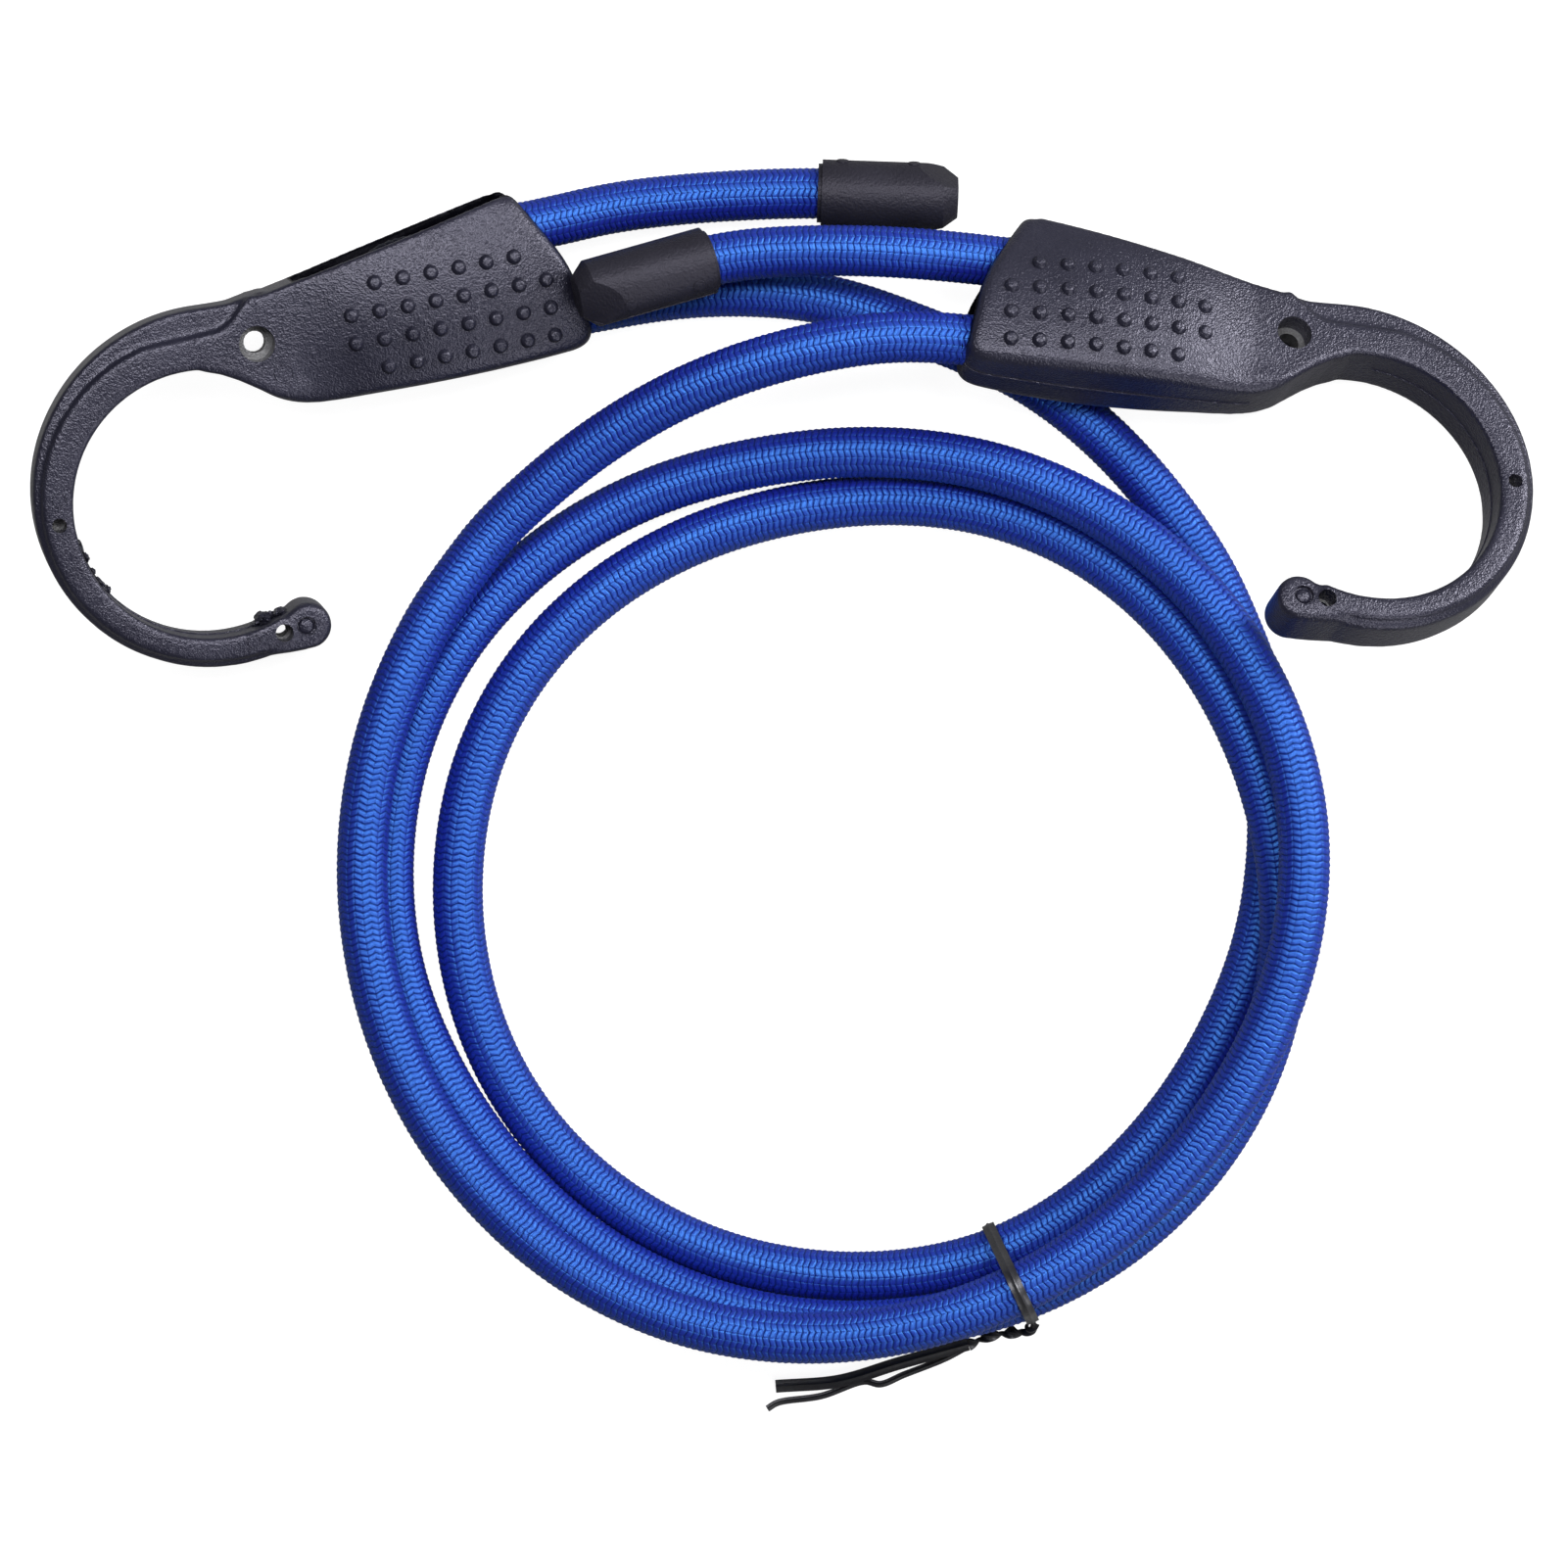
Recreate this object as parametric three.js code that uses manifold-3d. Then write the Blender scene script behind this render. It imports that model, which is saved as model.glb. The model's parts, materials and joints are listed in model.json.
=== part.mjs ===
// A bungee cord laid out in a tied coil, with a hollow slotted hook and a capped tail at each end.
// Millimetres, +Z up. The origin is on the table, under the middle of the two hooks.
import * as THREE from 'three';
import { mergeVertices } from 'three/addons/utils/BufferGeometryUtils.js';
import Module from 'manifold-3d';

const wasm = await Module();
wasm.setup();

// Shared by every piece
const clearance = 0.3;
const overrun = 20;
const cordDiameter = 9;
const cordRadius = cordDiameter / 2;

// Hook moulding: u runs from the neck hole to the open end, v to the slot side, w through the thickness
const gripReach = 59;
const gripWidth = 31;
const gripThickness = 18.4;
const gripEndDrop = 1.75;
const gripSideDrop = 1.0;
const gripEdgeRound = 1.6;
const gripCentreReach = 35;
const gripCentreSide = 1.5;
const crownSpan = 22;
const crownRise = 10;
const gripWall = 2.3;
const lowerWall = 2.3;
const cavityStart = 12;
const slotStart = 8;
const postCentreReach = 28.5;
const turnRadius = 7.2;
const legExitGap = 0.8;
const legExitReach = gripReach + legExitGap;
const legExitShift = 0.5;
const tailExitGap = 4.4;
const tailExitReach = gripReach - tailExitGap;
const tailExitShift = 2.4;
const postRadius = turnRadius - cordRadius - clearance;
const neckHoleRadius = 3.3;
const ringInnerRadius = 23.7;
const ringCentreBack = 13.3;
const ringCentreDrop = 26.3;
const ringThickness = 11.4;
const flangeThickness = 7.4;
const bandWidth = 5;
const flangeWidth = 2.4;
const bandEdgeRound = 0.7;
const ringFrom = 78;
const ringTo = 293;
const ringSteps = 26;
const tipHeadRadius = 4.1;
const tipHeadDegrees = 297;
const tipHeadPast = 4.7;
const tipHeadThickness = 9.8;
const tipHoleDegrees = 289;
const tipDimpleDegrees = 296.5;
const tipDimplePast = 4;
const tipHoleRadius = 1.4;
const tipDimpleRadius = 1.5;
const tipDimpleDepth = 0.8;
const pinHoleRadius = 1.3;
const pinHoleDegrees = 177;
const dotRadius = 1.2;
const dotTopRadius = 0.9;
const dotHeight = 0.6;
const dotPitch = 5;
const dotEndGap = 7.1;
const dotFirstReach = gripReach - dotEndGap;
const dotFirstSide = 7.1;

// Steel core of the hook
const coreThickness = 3;
const coreWidth = 3.6;
const coreEyeRadius = 5.4;
const coreHoleRadius = 1.95;
const corePast = 2.7;
const coreTipRadius = 2.07;
const coreTipHoleRadius = 1.12;
const coreStartDegrees = 6;
const coreEndDegrees = 1;

// End cap in two half shells
const capLength = 25;
const capRadius = 6;
const capBore = cordRadius + clearance;
const capBoreDepth = 18.5;
const capTipRadius = 3.7;
const capChamferLength = 2.6;
const capFlatLength = 7;
const capFlatDepth = 3.1;
const capFlatDegrees = 45;
const capStep = 0.7;
const capMarkRadius = 1.1;
const capMarkDepth = 0.4;
const capMarkShares = [0.17, 0.68];
const capMarkDegrees = 35;

// Twist tie round the coil
const tieWidth = 2;
const tieThickness = 0.5;
const tieDegrees = 155;
const tieClearance = 0.45;

// How the two hooks lie
const hookPoses = {
  left: { neck: [-93.3, 14.9], heading: 11.6, pitch: 10, roll: 12.3 },
  right: { neck: [89.1, 14.6], heading: 175, pitch: -10, roll: 203.3 },
};

const radians = (degrees) => (degrees * Math.PI) / 180;

const nylon = new THREE.MeshStandardMaterial({ color: 0x2e2f36, roughness: 0.55, metalness: 0 });
const capNylon = new THREE.MeshStandardMaterial({ color: 0x34333a, roughness: 0.6, metalness: 0 });
const steel = new THREE.MeshStandardMaterial({ color: 0x9a9a9c, roughness: 0.35, metalness: 1 });
const braid = new THREE.MeshStandardMaterial({ color: 0x1743c8, roughness: 0.6, metalness: 0 });
const ribbonPlastic = new THREE.MeshStandardMaterial({ color: 0x242329, roughness: 0.4, metalness: 0 });

// Solids
function toManifold(geometry) {
  const bare = geometry.index ? geometry.toNonIndexed() : geometry.clone();
  bare.deleteAttribute('normal');
  bare.deleteAttribute('uv');
  const merged = mergeVertices(bare, 1e-4);
  const vertProperties = new Float32Array(merged.attributes.position.array);
  const triVerts = new Uint32Array(merged.index.array);
  return new wasm.Manifold(new wasm.Mesh({ numProp: 3, vertProperties, triVerts }));
}

function toGeometry(solid) {
  const mesh = solid.getMesh();
  const geometry = new THREE.BufferGeometry();
  geometry.setAttribute('position', new THREE.BufferAttribute(mesh.vertProperties, 3));
  geometry.setIndex(new THREE.BufferAttribute(mesh.triVerts, 1));
  geometry.computeVertexNormals();
  return geometry;
}

function cylinder(radius, height, sides, u = 0, v = 0, w = 0) {
  const geometry = new THREE.CylinderGeometry(radius, radius, height, sides);
  geometry.rotateX(Math.PI / 2);
  geometry.translate(u, v, w);
  return toManifold(geometry);
}

function box(lengths, centre) {
  const geometry = new THREE.BoxGeometry(...lengths);
  geometry.translate(...centre);
  return toManifold(geometry);
}

function plate(points, thickness, edgeRound) {
  const bevelled = edgeRound > 0;
  const geometry = new THREE.ExtrudeGeometry(new THREE.Shape(points), {
    depth: thickness - 2 * edgeRound,
    bevelEnabled: bevelled,
    bevelThickness: edgeRound,
    bevelSize: edgeRound,
    bevelOffset: -edgeRound,
    bevelSegments: 1,
    steps: 1,
  });
  geometry.translate(0, 0, edgeRound - thickness / 2);
  return toManifold(geometry);
}

function tube(points, sides, steps) {
  const section = new THREE.Shape();
  for (let side = 0; side < sides; side += 1) {
    const turn = (2 * Math.PI * side) / sides;
    const place = [cordRadius * Math.cos(turn), cordRadius * Math.sin(turn)];
    if (side === 0) section.moveTo(...place);
    else section.lineTo(...place);
  }
  section.closePath();
  const path = new THREE.CatmullRomCurve3(points, false, 'centripetal');
  return new THREE.ExtrudeGeometry(section, { steps, bevelEnabled: false, extrudePath: path });
}

// Least distance between the surfaces of stretches of one tube that lie apart along it
function leastGap(points) {
  const path = new THREE.CatmullRomCurve3(points, false, 'centripetal');
  const count = 600;
  const spaced = path.getSpacedPoints(count);
  const apart = Math.ceil((3 * cordDiameter * count) / path.getLength());
  let least = Infinity;
  for (let i = 0; i <= count; i += 1) {
    for (let j = i + apart; j <= count; j += 1) {
      least = Math.min(least, spaced[i].distanceTo(spaced[j]) - cordDiameter);
    }
  }
  return least;
}

// Flat strip along a route: each station gives its place and the direction of its width
function strip(stations, closed) {
  const corners = [];
  const count = stations.length;
  stations.forEach((station, index) => {
    const before = stations[closed ? (index + count - 1) % count : Math.max(index - 1, 0)];
    const after = stations[closed ? (index + 1) % count : Math.min(index + 1, count - 1)];
    const along = after.place.clone().sub(before.place).normalize();
    const across = station.across.clone().normalize();
    const through = new THREE.Vector3().crossVectors(along, across).normalize();
    across.crossVectors(through, along).normalize();
    const halfWidth = (station.width ?? tieWidth) / 2;
    for (const [a, t] of [[1, 1], [-1, 1], [-1, -1], [1, -1]]) {
      corners.push(station.place.clone()
        .addScaledVector(across, a * halfWidth)
        .addScaledVector(through, (t * tieThickness) / 2));
    }
  });
  const triangles = [];
  const spans = closed ? count : count - 1;
  for (let index = 0; index < spans; index += 1) {
    const next = (index + 1) % count;
    for (let side = 0; side < 4; side += 1) {
      const a = index * 4 + side;
      const b = index * 4 + ((side + 1) % 4);
      const c = next * 4 + ((side + 1) % 4);
      const d = next * 4 + side;
      triangles.push(a, b, c, a, c, d);
    }
  }
  if (!closed) {
    const last = (count - 1) * 4;
    triangles.push(0, 2, 1, 0, 3, 2, last, last + 1, last + 2, last, last + 2, last + 3);
  }
  const geometry = new THREE.BufferGeometry();
  const numbers = corners.flatMap((corner) => corner.toArray());
  geometry.setAttribute('position', new THREE.Float32BufferAttribute(numbers, 3));
  geometry.setIndex(triangles);
  return outward(geometry);
}

function outward(geometry) {
  const p = geometry.attributes.position;
  const index = geometry.index;
  const [a, b, c] = [new THREE.Vector3(), new THREE.Vector3(), new THREE.Vector3()];
  let volume = 0;
  for (let i = 0; i < index.count; i += 3) {
    a.fromBufferAttribute(p, index.getX(i));
    b.fromBufferAttribute(p, index.getX(i + 1));
    c.fromBufferAttribute(p, index.getX(i + 2));
    volume += a.dot(b.cross(c));
  }
  if (volume < 0) {
    for (let i = 0; i < index.count; i += 3) {
      const second = index.getX(i + 1);
      index.setX(i + 1, index.getX(i + 2));
      index.setX(i + 2, second);
    }
  }
  return geometry;
}

// Grip outline as shares of the grip's reach and width, from the neck round to the slot side
const gripOutlineShares = [
  [-0.02, 0.245], [0.10, 0.29], [0.27, 0.357], [0.45, 0.429], [0.63, 0.503], [0.78, 0.565],
  [0.808, 0.575], [0.828, 0.56], [0.845, 0.515], [0.89, 0.37], [0.934, 0.225], [0.966, 0.08],
  [0.985, -0.09], [0.999, -0.235], [0.999, -0.285], [0.985, -0.335], [0.955, -0.365], [0.91, -0.376],
  [0.72, -0.395], [0.52, -0.404], [0.32, -0.404], [0.17, -0.397], [0.105, -0.385], [0.06, -0.33],
  [0.02, -0.25], [-0.02, -0.16],
];
const crownLimitShare = 1.6;
// Rings of the side faces: size about the grip's centre, and how far each lies below the crown
const loftRingShares = [[1, 1], [0.985, 0.4], [0.94, 0], [0.72, 0], [0.4, 0]];
const floorShares = gripOutlineShares.slice(14, 23);
const bottomShare = -0.404;
const floorEndShare = 0.9;
const leanShare = 0.35;

function gripHalf(u, v, inset) {
  const alongShare = (u - gripCentreReach) / crownSpan;
  const sideShare = (v - gripCentreSide) / crownRise;
  const endDrop = gripEndDrop * Math.min(alongShare * alongShare, crownLimitShare);
  const crown = endDrop + gripSideDrop * sideShare * sideShare;
  return gripThickness / 2 - crown - inset;
}

function gripLoft() {
  const outline = gripOutlineShares.map(([a, b]) => new THREE.Vector2(a * gripReach, b * gripWidth));
  const count = outline.length;
  const positions = [];
  const triangles = [];
  for (const side of [1, -1]) {
    for (const [spreadShare, dropShare] of loftRingShares) {
      for (const point of outline) {
        const u = gripCentreReach + (point.x - gripCentreReach) * spreadShare;
        const v = gripCentreSide + (point.y - gripCentreSide) * spreadShare;
        positions.push(u, v, side * (gripHalf(u, v, 0) - gripEdgeRound * dropShare));
      }
    }
    positions.push(gripCentreReach, gripCentreSide, side * gripHalf(gripCentreReach, gripCentreSide, 0));
  }
  const ringCount = loftRingShares.length;
  const perSide = ringCount * count + 1;
  const join = (a, b, c, d) => triangles.push(a, b, c, a, c, d);
  for (const side of [0, 1]) {
    const base = side * perSide;
    for (let i = 0; i < count; i += 1) {
      const next = (i + 1) % count;
      for (let ring = 0; ring < ringCount - 1; ring += 1) {
        const outer = base + ring * count;
        const inner = outer + count;
        if (side === 0) join(outer + i, inner + i, inner + next, outer + next);
        else join(outer + i, outer + next, inner + next, inner + i);
      }
      const last = base + (ringCount - 1) * count;
      const middle = base + ringCount * count;
      if (side === 0) triangles.push(last + i, middle, last + next);
      else triangles.push(last + i, last + next, middle);
    }
  }
  for (let i = 0; i < count; i += 1) {
    const next = (i + 1) % count;
    join(i, next, perSide + next, perSide + i);
  }
  const geometry = new THREE.BufferGeometry();
  geometry.setAttribute('position', new THREE.Float32BufferAttribute(positions, 3));
  geometry.setIndex(triangles);
  return toManifold(outward(geometry));
}

// Side of the hollow's floor, which runs along the inside of the lower wall
function cavityFloor(u) {
  const lower = floorShares.map(([a, b]) => [a * gripReach, b * gripWidth]);
  for (let i = 0; i < lower.length - 1; i += 1) {
    const [u1, v1] = lower[i];
    const [u2, v2] = lower[i + 1];
    if (u <= u1 && u >= u2) return v2 + ((v1 - v2) * (u - u2)) / (u1 - u2) + lowerWall;
  }
  return lower[0][1] + lowerWall;
}

// The hollow between the side plates: closed at the floor and the neck, open at the slot and the wide end
function gripCavity() {
  const columns = 14;
  const far = gripReach + overrun / 2;
  const leanStart = gripWidth * leanShare;
  const positions = [];
  const triangles = [];
  for (let column = 0; column <= columns; column += 1) {
    const share = column / columns;
    const u = cavityStart + share * (far - cavityStart);
    const low = cavityFloor(Math.min(u, gripReach * floorEndShare)) + (column === 0 ? lowerWall : 0);
    const lean = column === 0 ? slotStart - cavityStart : 0;
    const levels = [[low, 0], [low + gripWall, 0], [gripCentreSide, 0], [leanStart, lean], [gripWidth, lean]];
    for (const [v, shift] of levels) {
      const half = gripHalf(Math.min(u, gripReach), Math.min(v, gripWidth / 2), gripWall);
      positions.push(u + shift, v, half, u + shift, v, -half);
    }
  }
  const rows = 5;
  const at = (column, row, side) => (column * rows + row) * 2 + side;
  const join = (a, b, c, d) => triangles.push(a, b, c, a, c, d);
  for (let column = 0; column < columns; column += 1) {
    for (let row = 0; row < rows - 1; row += 1) {
      join(at(column, row, 0), at(column + 1, row, 0), at(column + 1, row + 1, 0), at(column, row + 1, 0));
      join(at(column, row, 1), at(column, row + 1, 1), at(column + 1, row + 1, 1), at(column + 1, row, 1));
    }
    const top = rows - 1;
    join(at(column, 0, 0), at(column, 0, 1), at(column + 1, 0, 1), at(column + 1, 0, 0));
    join(at(column, top, 0), at(column + 1, top, 0), at(column + 1, top, 1), at(column, top, 1));
  }
  for (let row = 0; row < rows - 1; row += 1) {
    join(at(0, row, 0), at(0, row + 1, 0), at(0, row + 1, 1), at(0, row, 1));
    join(at(columns, row, 0), at(columns, row, 1), at(columns, row + 1, 1), at(columns, row + 1, 0));
  }
  const geometry = new THREE.BufferGeometry();
  geometry.setAttribute('position', new THREE.Float32BufferAttribute(positions, 3));
  geometry.setIndex(triangles);
  return toManifold(outward(geometry));
}

// Places round the ring: degrees about its centre from +u, and the distance past the inner edge
function ringPoint(degrees, past) {
  const turn = radians(degrees);
  const radius = ringInnerRadius + past;
  return new THREE.Vector2(
    radius * Math.cos(turn) - ringCentreBack,
    radius * Math.sin(turn) - ringCentreDrop,
  );
}

// Widths round the ring, from the neck to the tip, as shares of the usual width
const bandShares = [1.22, 1.2, 1.17, 1.12, 1.03, 0.93, 0.84, 0.82, 0.9];
const flangeShares = [1.75, 1.35, 0.95, 0.66, 0.48, 0.44, 0.48, 0.56, 0.5];

// Where the ring runs into the grip, as shares of the grip's reach and width
const bandRootShares = [
  [-0.10, 0.13], [-0.045, 0.19], [-0.018, 0.245], [0.2, 0.2], [0.2, -0.3], [0.105, -0.38],
  [0.06, -0.325], [0.02, -0.235], [-0.03, -0.15], [-0.09, -0.095],
];
const flangeRootShares = [[0.03, 0.1], [0.03, 0.25], [-0.03, 0.262]];

function widthAt(width, shares, share) {
  const place = share * (shares.length - 1);
  const index = Math.min(Math.floor(place), shares.length - 2);
  return width * THREE.MathUtils.lerp(shares[index], shares[index + 1], place - index);
}

const bandAt = (share) => widthAt(bandWidth, bandShares, share);
const flangeAt = (share) => widthAt(flangeWidth, flangeShares, share);

function ringBand() {
  const points = [];
  for (let step = 0; step <= ringSteps; step += 1) {
    points.push(ringPoint(ringFrom + ((ringTo - ringFrom) * step) / ringSteps, 0));
  }
  for (let step = ringSteps; step >= 2; step -= 1) {
    const share = step / ringSteps;
    points.push(ringPoint(ringFrom + (ringTo - ringFrom) * share, bandAt(share)));
  }
  for (const [a, b] of bandRootShares) points.push(new THREE.Vector2(a * gripReach, b * gripWidth));
  return plate(points, ringThickness, bandEdgeRound);
}

function ringFlange() {
  const points = [];
  const inner = bandWidth / 2;
  for (let step = 0; step <= ringSteps; step += 1) {
    const share = step / ringSteps;
    points.push(ringPoint(ringFrom + (ringTo - ringFrom) * share, bandAt(share) + flangeAt(share)));
  }
  for (let step = ringSteps; step >= 0; step -= 1) {
    points.push(ringPoint(ringFrom + ((ringTo - ringFrom) * step) / ringSteps, inner));
  }
  for (const [a, b] of flangeRootShares) points.push(new THREE.Vector2(a * gripReach, b * gripWidth));
  return plate(points.reverse(), flangeThickness, bandEdgeRound);
}

function hookCore(grow) {
  const half = coreWidth / 2 + grow;
  const points = [];
  const from = ringFrom + coreStartDegrees;
  const to = tipHoleDegrees + coreEndDegrees;
  for (let step = 0; step <= ringSteps; step += 1) {
    points.push(ringPoint(from + ((to - from) * step) / ringSteps, corePast - half));
  }
  for (let step = ringSteps; step >= 0; step -= 1) {
    points.push(ringPoint(from + ((to - from) * step) / ringSteps, corePast + half));
  }
  points.push(new THREE.Vector2(0, half));
  points.push(new THREE.Vector2(0, -half));
  let solid = plate(points.reverse(), coreThickness + 2 * grow, 0);
  const tip = ringPoint(tipHoleDegrees, corePast);
  solid = solid.add(cylinder(coreEyeRadius + grow, coreThickness + 2 * grow, 20));
  solid = solid.add(cylinder(coreTipRadius + grow, coreThickness + 2 * grow, 12, tip.x, tip.y));
  if (grow === 0) {
    solid = solid.subtract(cylinder(coreHoleRadius, overrun, 16));
    solid = solid.subtract(cylinder(coreTipHoleRadius, overrun, 10, tip.x, tip.y));
  }
  return solid;
}

function gripDots() {
  const rows = [[1, 6], [0, 7], [0, 7], [0, 6]];
  const dots = [];
  rows.forEach(([first, last], row) => {
    for (let column = first; column <= last; column += 1) {
      const u = dotFirstReach - column * dotPitch;
      const v = dotFirstSide - row * dotPitch;
      const face = gripHalf(u, v, 0);
      for (const side of [1, -1]) {
        const geometry = new THREE.CylinderGeometry(dotTopRadius, dotRadius, 2 * dotHeight, 6);
        geometry.rotateX((side * Math.PI) / 2);
        geometry.translate(u, v, side * face);
        dots.push(toManifold(geometry));
      }
    }
  });
  return wasm.Manifold.union(dots);
}

function hookBody() {
  const head = ringPoint(tipHeadDegrees, tipHeadPast);
  const hole = ringPoint(tipHoleDegrees, corePast);
  const dimple = ringPoint(tipDimpleDegrees, tipDimplePast);
  const pin = ringPoint(pinHoleDegrees, corePast);
  const postSide = postCentreSide();
  let solid = gripLoft();
  solid = solid.subtract(gripCavity());
  solid = solid.add(cylinder(postRadius, gripThickness - gripWall, 14, postCentreReach, postSide));
  solid = solid.add(ringBand()).add(ringFlange());
  solid = solid.add(cylinder(tipHeadRadius, tipHeadThickness, 16, head.x, head.y));
  solid = solid.subtract(hookCore(clearance));
  solid = solid.subtract(cylinder(neckHoleRadius, overrun, 20));
  solid = solid.subtract(cylinder(tipHoleRadius, overrun, 12, hole.x, hole.y));
  solid = solid.subtract(cylinder(pinHoleRadius, overrun, 12, pin.x, pin.y));
  for (const side of [1, -1]) {
    const face = (side * tipHeadThickness) / 2;
    solid = solid.subtract(cylinder(tipDimpleRadius, 2 * tipDimpleDepth, 12, dimple.x, dimple.y, face));
  }
  return solid.add(gripDots());
}

// The cord's bend inside the grip
const legSide = postCentreSide() - turnRadius;
const tailSide = postCentreSide() + turnRadius;
const legExit = [legExitReach, legSide + legExitShift];
const tailExit = [tailExitReach, tailSide + tailExitShift];
// Each run out of the bend: how far along it, and how much of the shift to the side is done there
const runShares = [[0.2, 0.1], [0.5, 0.6], [0.8, 1], [1, 1]];

function postCentreSide() {
  return bottomShare * gripWidth + lowerWall + clearance + cordRadius + turnRadius;
}

function turnRoute() {
  const points = [];
  const legRun = legExit[0] - postCentreReach;
  const tailRun = tailExit[0] - postCentreReach;
  for (const [reachShare, sideShare] of [...runShares].reverse()) {
    const side = THREE.MathUtils.lerp(legSide, legExit[1], sideShare);
    points.push(new THREE.Vector3(postCentreReach + legRun * reachShare, side, 0));
  }
  const steps = 8;
  for (let step = 0; step <= steps; step += 1) {
    const turn = -Math.PI / 2 - (Math.PI * step) / steps;
    points.push(new THREE.Vector3(
      postCentreReach + turnRadius * Math.cos(turn),
      postCentreSide() + turnRadius * Math.sin(turn),
      0,
    ));
  }
  for (const [reachShare, sideShare] of runShares) {
    const side = THREE.MathUtils.lerp(tailSide, tailExit[1], sideShare);
    points.push(new THREE.Vector3(postCentreReach + tailRun * reachShare, side, 0));
  }
  return points;
}

// Coil: hand-chosen stations of degrees clockwise from the top, radius and height, followed turn by turn
const coilCentre = new THREE.Vector2(9, -83);
const coilStations = [
  [65, 83.9, 4.6], [80, 79.6, 4.6], [95, 76.4, 4.6], [110, 73.4, 4.6], [130, 71.2, 5.0], [155, 70.0, 5.7],
  [180, 67.8, 5.0], [210, 66.8, 4.6], [240, 67.2, 4.6], [270, 67.4, 4.6], [300, 68.4, 4.6], [340, 68.6, 4.6],
  [360, 70.3, 4.6], [375, 72.9, 4.7], [390, 75.5, 5.7], [405, 77.0, 8.5], [420, 77.6, 11.9], [435, 78.3, 13.9],
  [450, 79.6, 14.0], [465, 80.8, 12.2], [480, 81.1, 9.7], [495, 80.4, 8.7], [510, 79.0, 9.9], [525, 77.4, 10.3],
  [540, 76.6, 9.2], [560, 76.1, 8.0], [585, 76.1, 7.3], [600, 76.5, 7.0], [615, 78.3, 5.4], [630, 79.7, 4.7],
  [660, 81.2, 4.6], [690, 79.6, 4.8], [705, 78.6, 6.3], [720, 78.9, 9.0], [735, 80.7, 10.8], [750, 82.3, 12.5],
  [765, 83.6, 15.5], [780, 83.9, 19.2], [795, 83.5, 22.3], [810, 81.9, 23.3], [825, 79.5, 22.3], [840, 77.6, 19.8],
  [855, 76.2, 19.0], [870, 75.9, 19.7], [885, 76.3, 20.0], [900, 77.4, 19.1], [915, 78.8, 17.9], [930, 80.0, 16.6],
  [960, 81.6, 15.2], [990, 83.6, 13.8], [1020, 86.6, 12.8], [1035, 88.4, 10.8],
];
const coilFrom = coilStations[0][0];
const coilTo = coilStations[coilStations.length - 1][0];
const stepsPerTurn = 24;

const stationCurve = new THREE.CatmullRomCurve3(
  coilStations.map(([degrees, radius, height]) => new THREE.Vector3(degrees, radius, height)),
  false,
  'catmullrom',
);

function coilPoint(degrees) {
  let low = 0;
  let high = 1;
  for (let halving = 0; halving < 40; halving += 1) {
    const middle = (low + high) / 2;
    if (stationCurve.getPoint(middle).x < degrees) low = middle;
    else high = middle;
  }
  const station = stationCurve.getPoint(low);
  const turn = radians(degrees);
  return new THREE.Vector3(
    coilCentre.x + station.y * Math.sin(turn),
    coilCentre.y + station.y * Math.cos(turn),
    station.z,
  );
}

function coilRoute() {
  const points = [];
  const stepDegrees = 360 / stepsPerTurn;
  for (let degrees = coilFrom; degrees <= coilTo; degrees += stepDegrees) points.push(coilPoint(degrees));
  points.push(coilPoint(coilTo));
  return withStraightEnds(points);
}

// The first and last half diameter of a route run straight
function withStraightEnds(points) {
  const route = points.map((point) => point.clone());
  const startWay = route[0].clone().sub(route[1]).normalize();
  const endWay = route[route.length - 1].clone().sub(route[route.length - 2]).normalize();
  const last = route.length - 1;
  route.splice(last, 0, route[last].clone().addScaledVector(endWay, -cordRadius));
  route.splice(1, 0, route[0].clone().addScaledVector(startWay, -cordRadius));
  return route;
}

// Free stretches: places along each, in the order in which the cord runs from the left cap to the right one
const leftTailPlaces = [[-35.2, 38.6, 9.2], [-28.5, 39.9, 8.2], [-17.2, 41.3, 6.9], [-5.3, 42.1, 6.4]];
const leftLegPlaces = [
  [-20.2, 24.5, 4.7], [-10.1, 25.1, 4.6], [0, 24.7, 4.6], [9, 23.4, 4.6], [26.7, 17.1, 4.6],
  [42.9, 10, 4.6], [56.7, -0.4, 4.6], [67.9, -12.8, 4.6], [76.9, -26.1, 4.6], [82.9, -40.2, 4.6],
];
const rightLegPlaces = [
  [-48.1, -14.9, 11.6], [-42.3, -9.6, 12.7], [-36.1, -4.8, 14.2], [-29.5, -0.4, 16], [-22.5, 3.6, 18],
  [-15.2, 7, 20], [-7.5, 9.9, 21.7], [0.5, 12.2, 22.9], [8.8, 14, 23.6], [17.4, 15.2, 23.8],
];
const rightTailPlaces = [[22.4, 30.6, 16.8], [11.1, 31.1, 16.3], [-0.1, 31, 15.6], [-7, 30.6, 15.1]];
const capPlaces = {
  left: { mouth: [6, 42.4, 6.3], heading: -2, pitch: 0, roll: -14 },
  right: { mouth: [-12.9, 29.6, 15.3], heading: 197, pitch: -11, roll: 9 },
};

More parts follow.
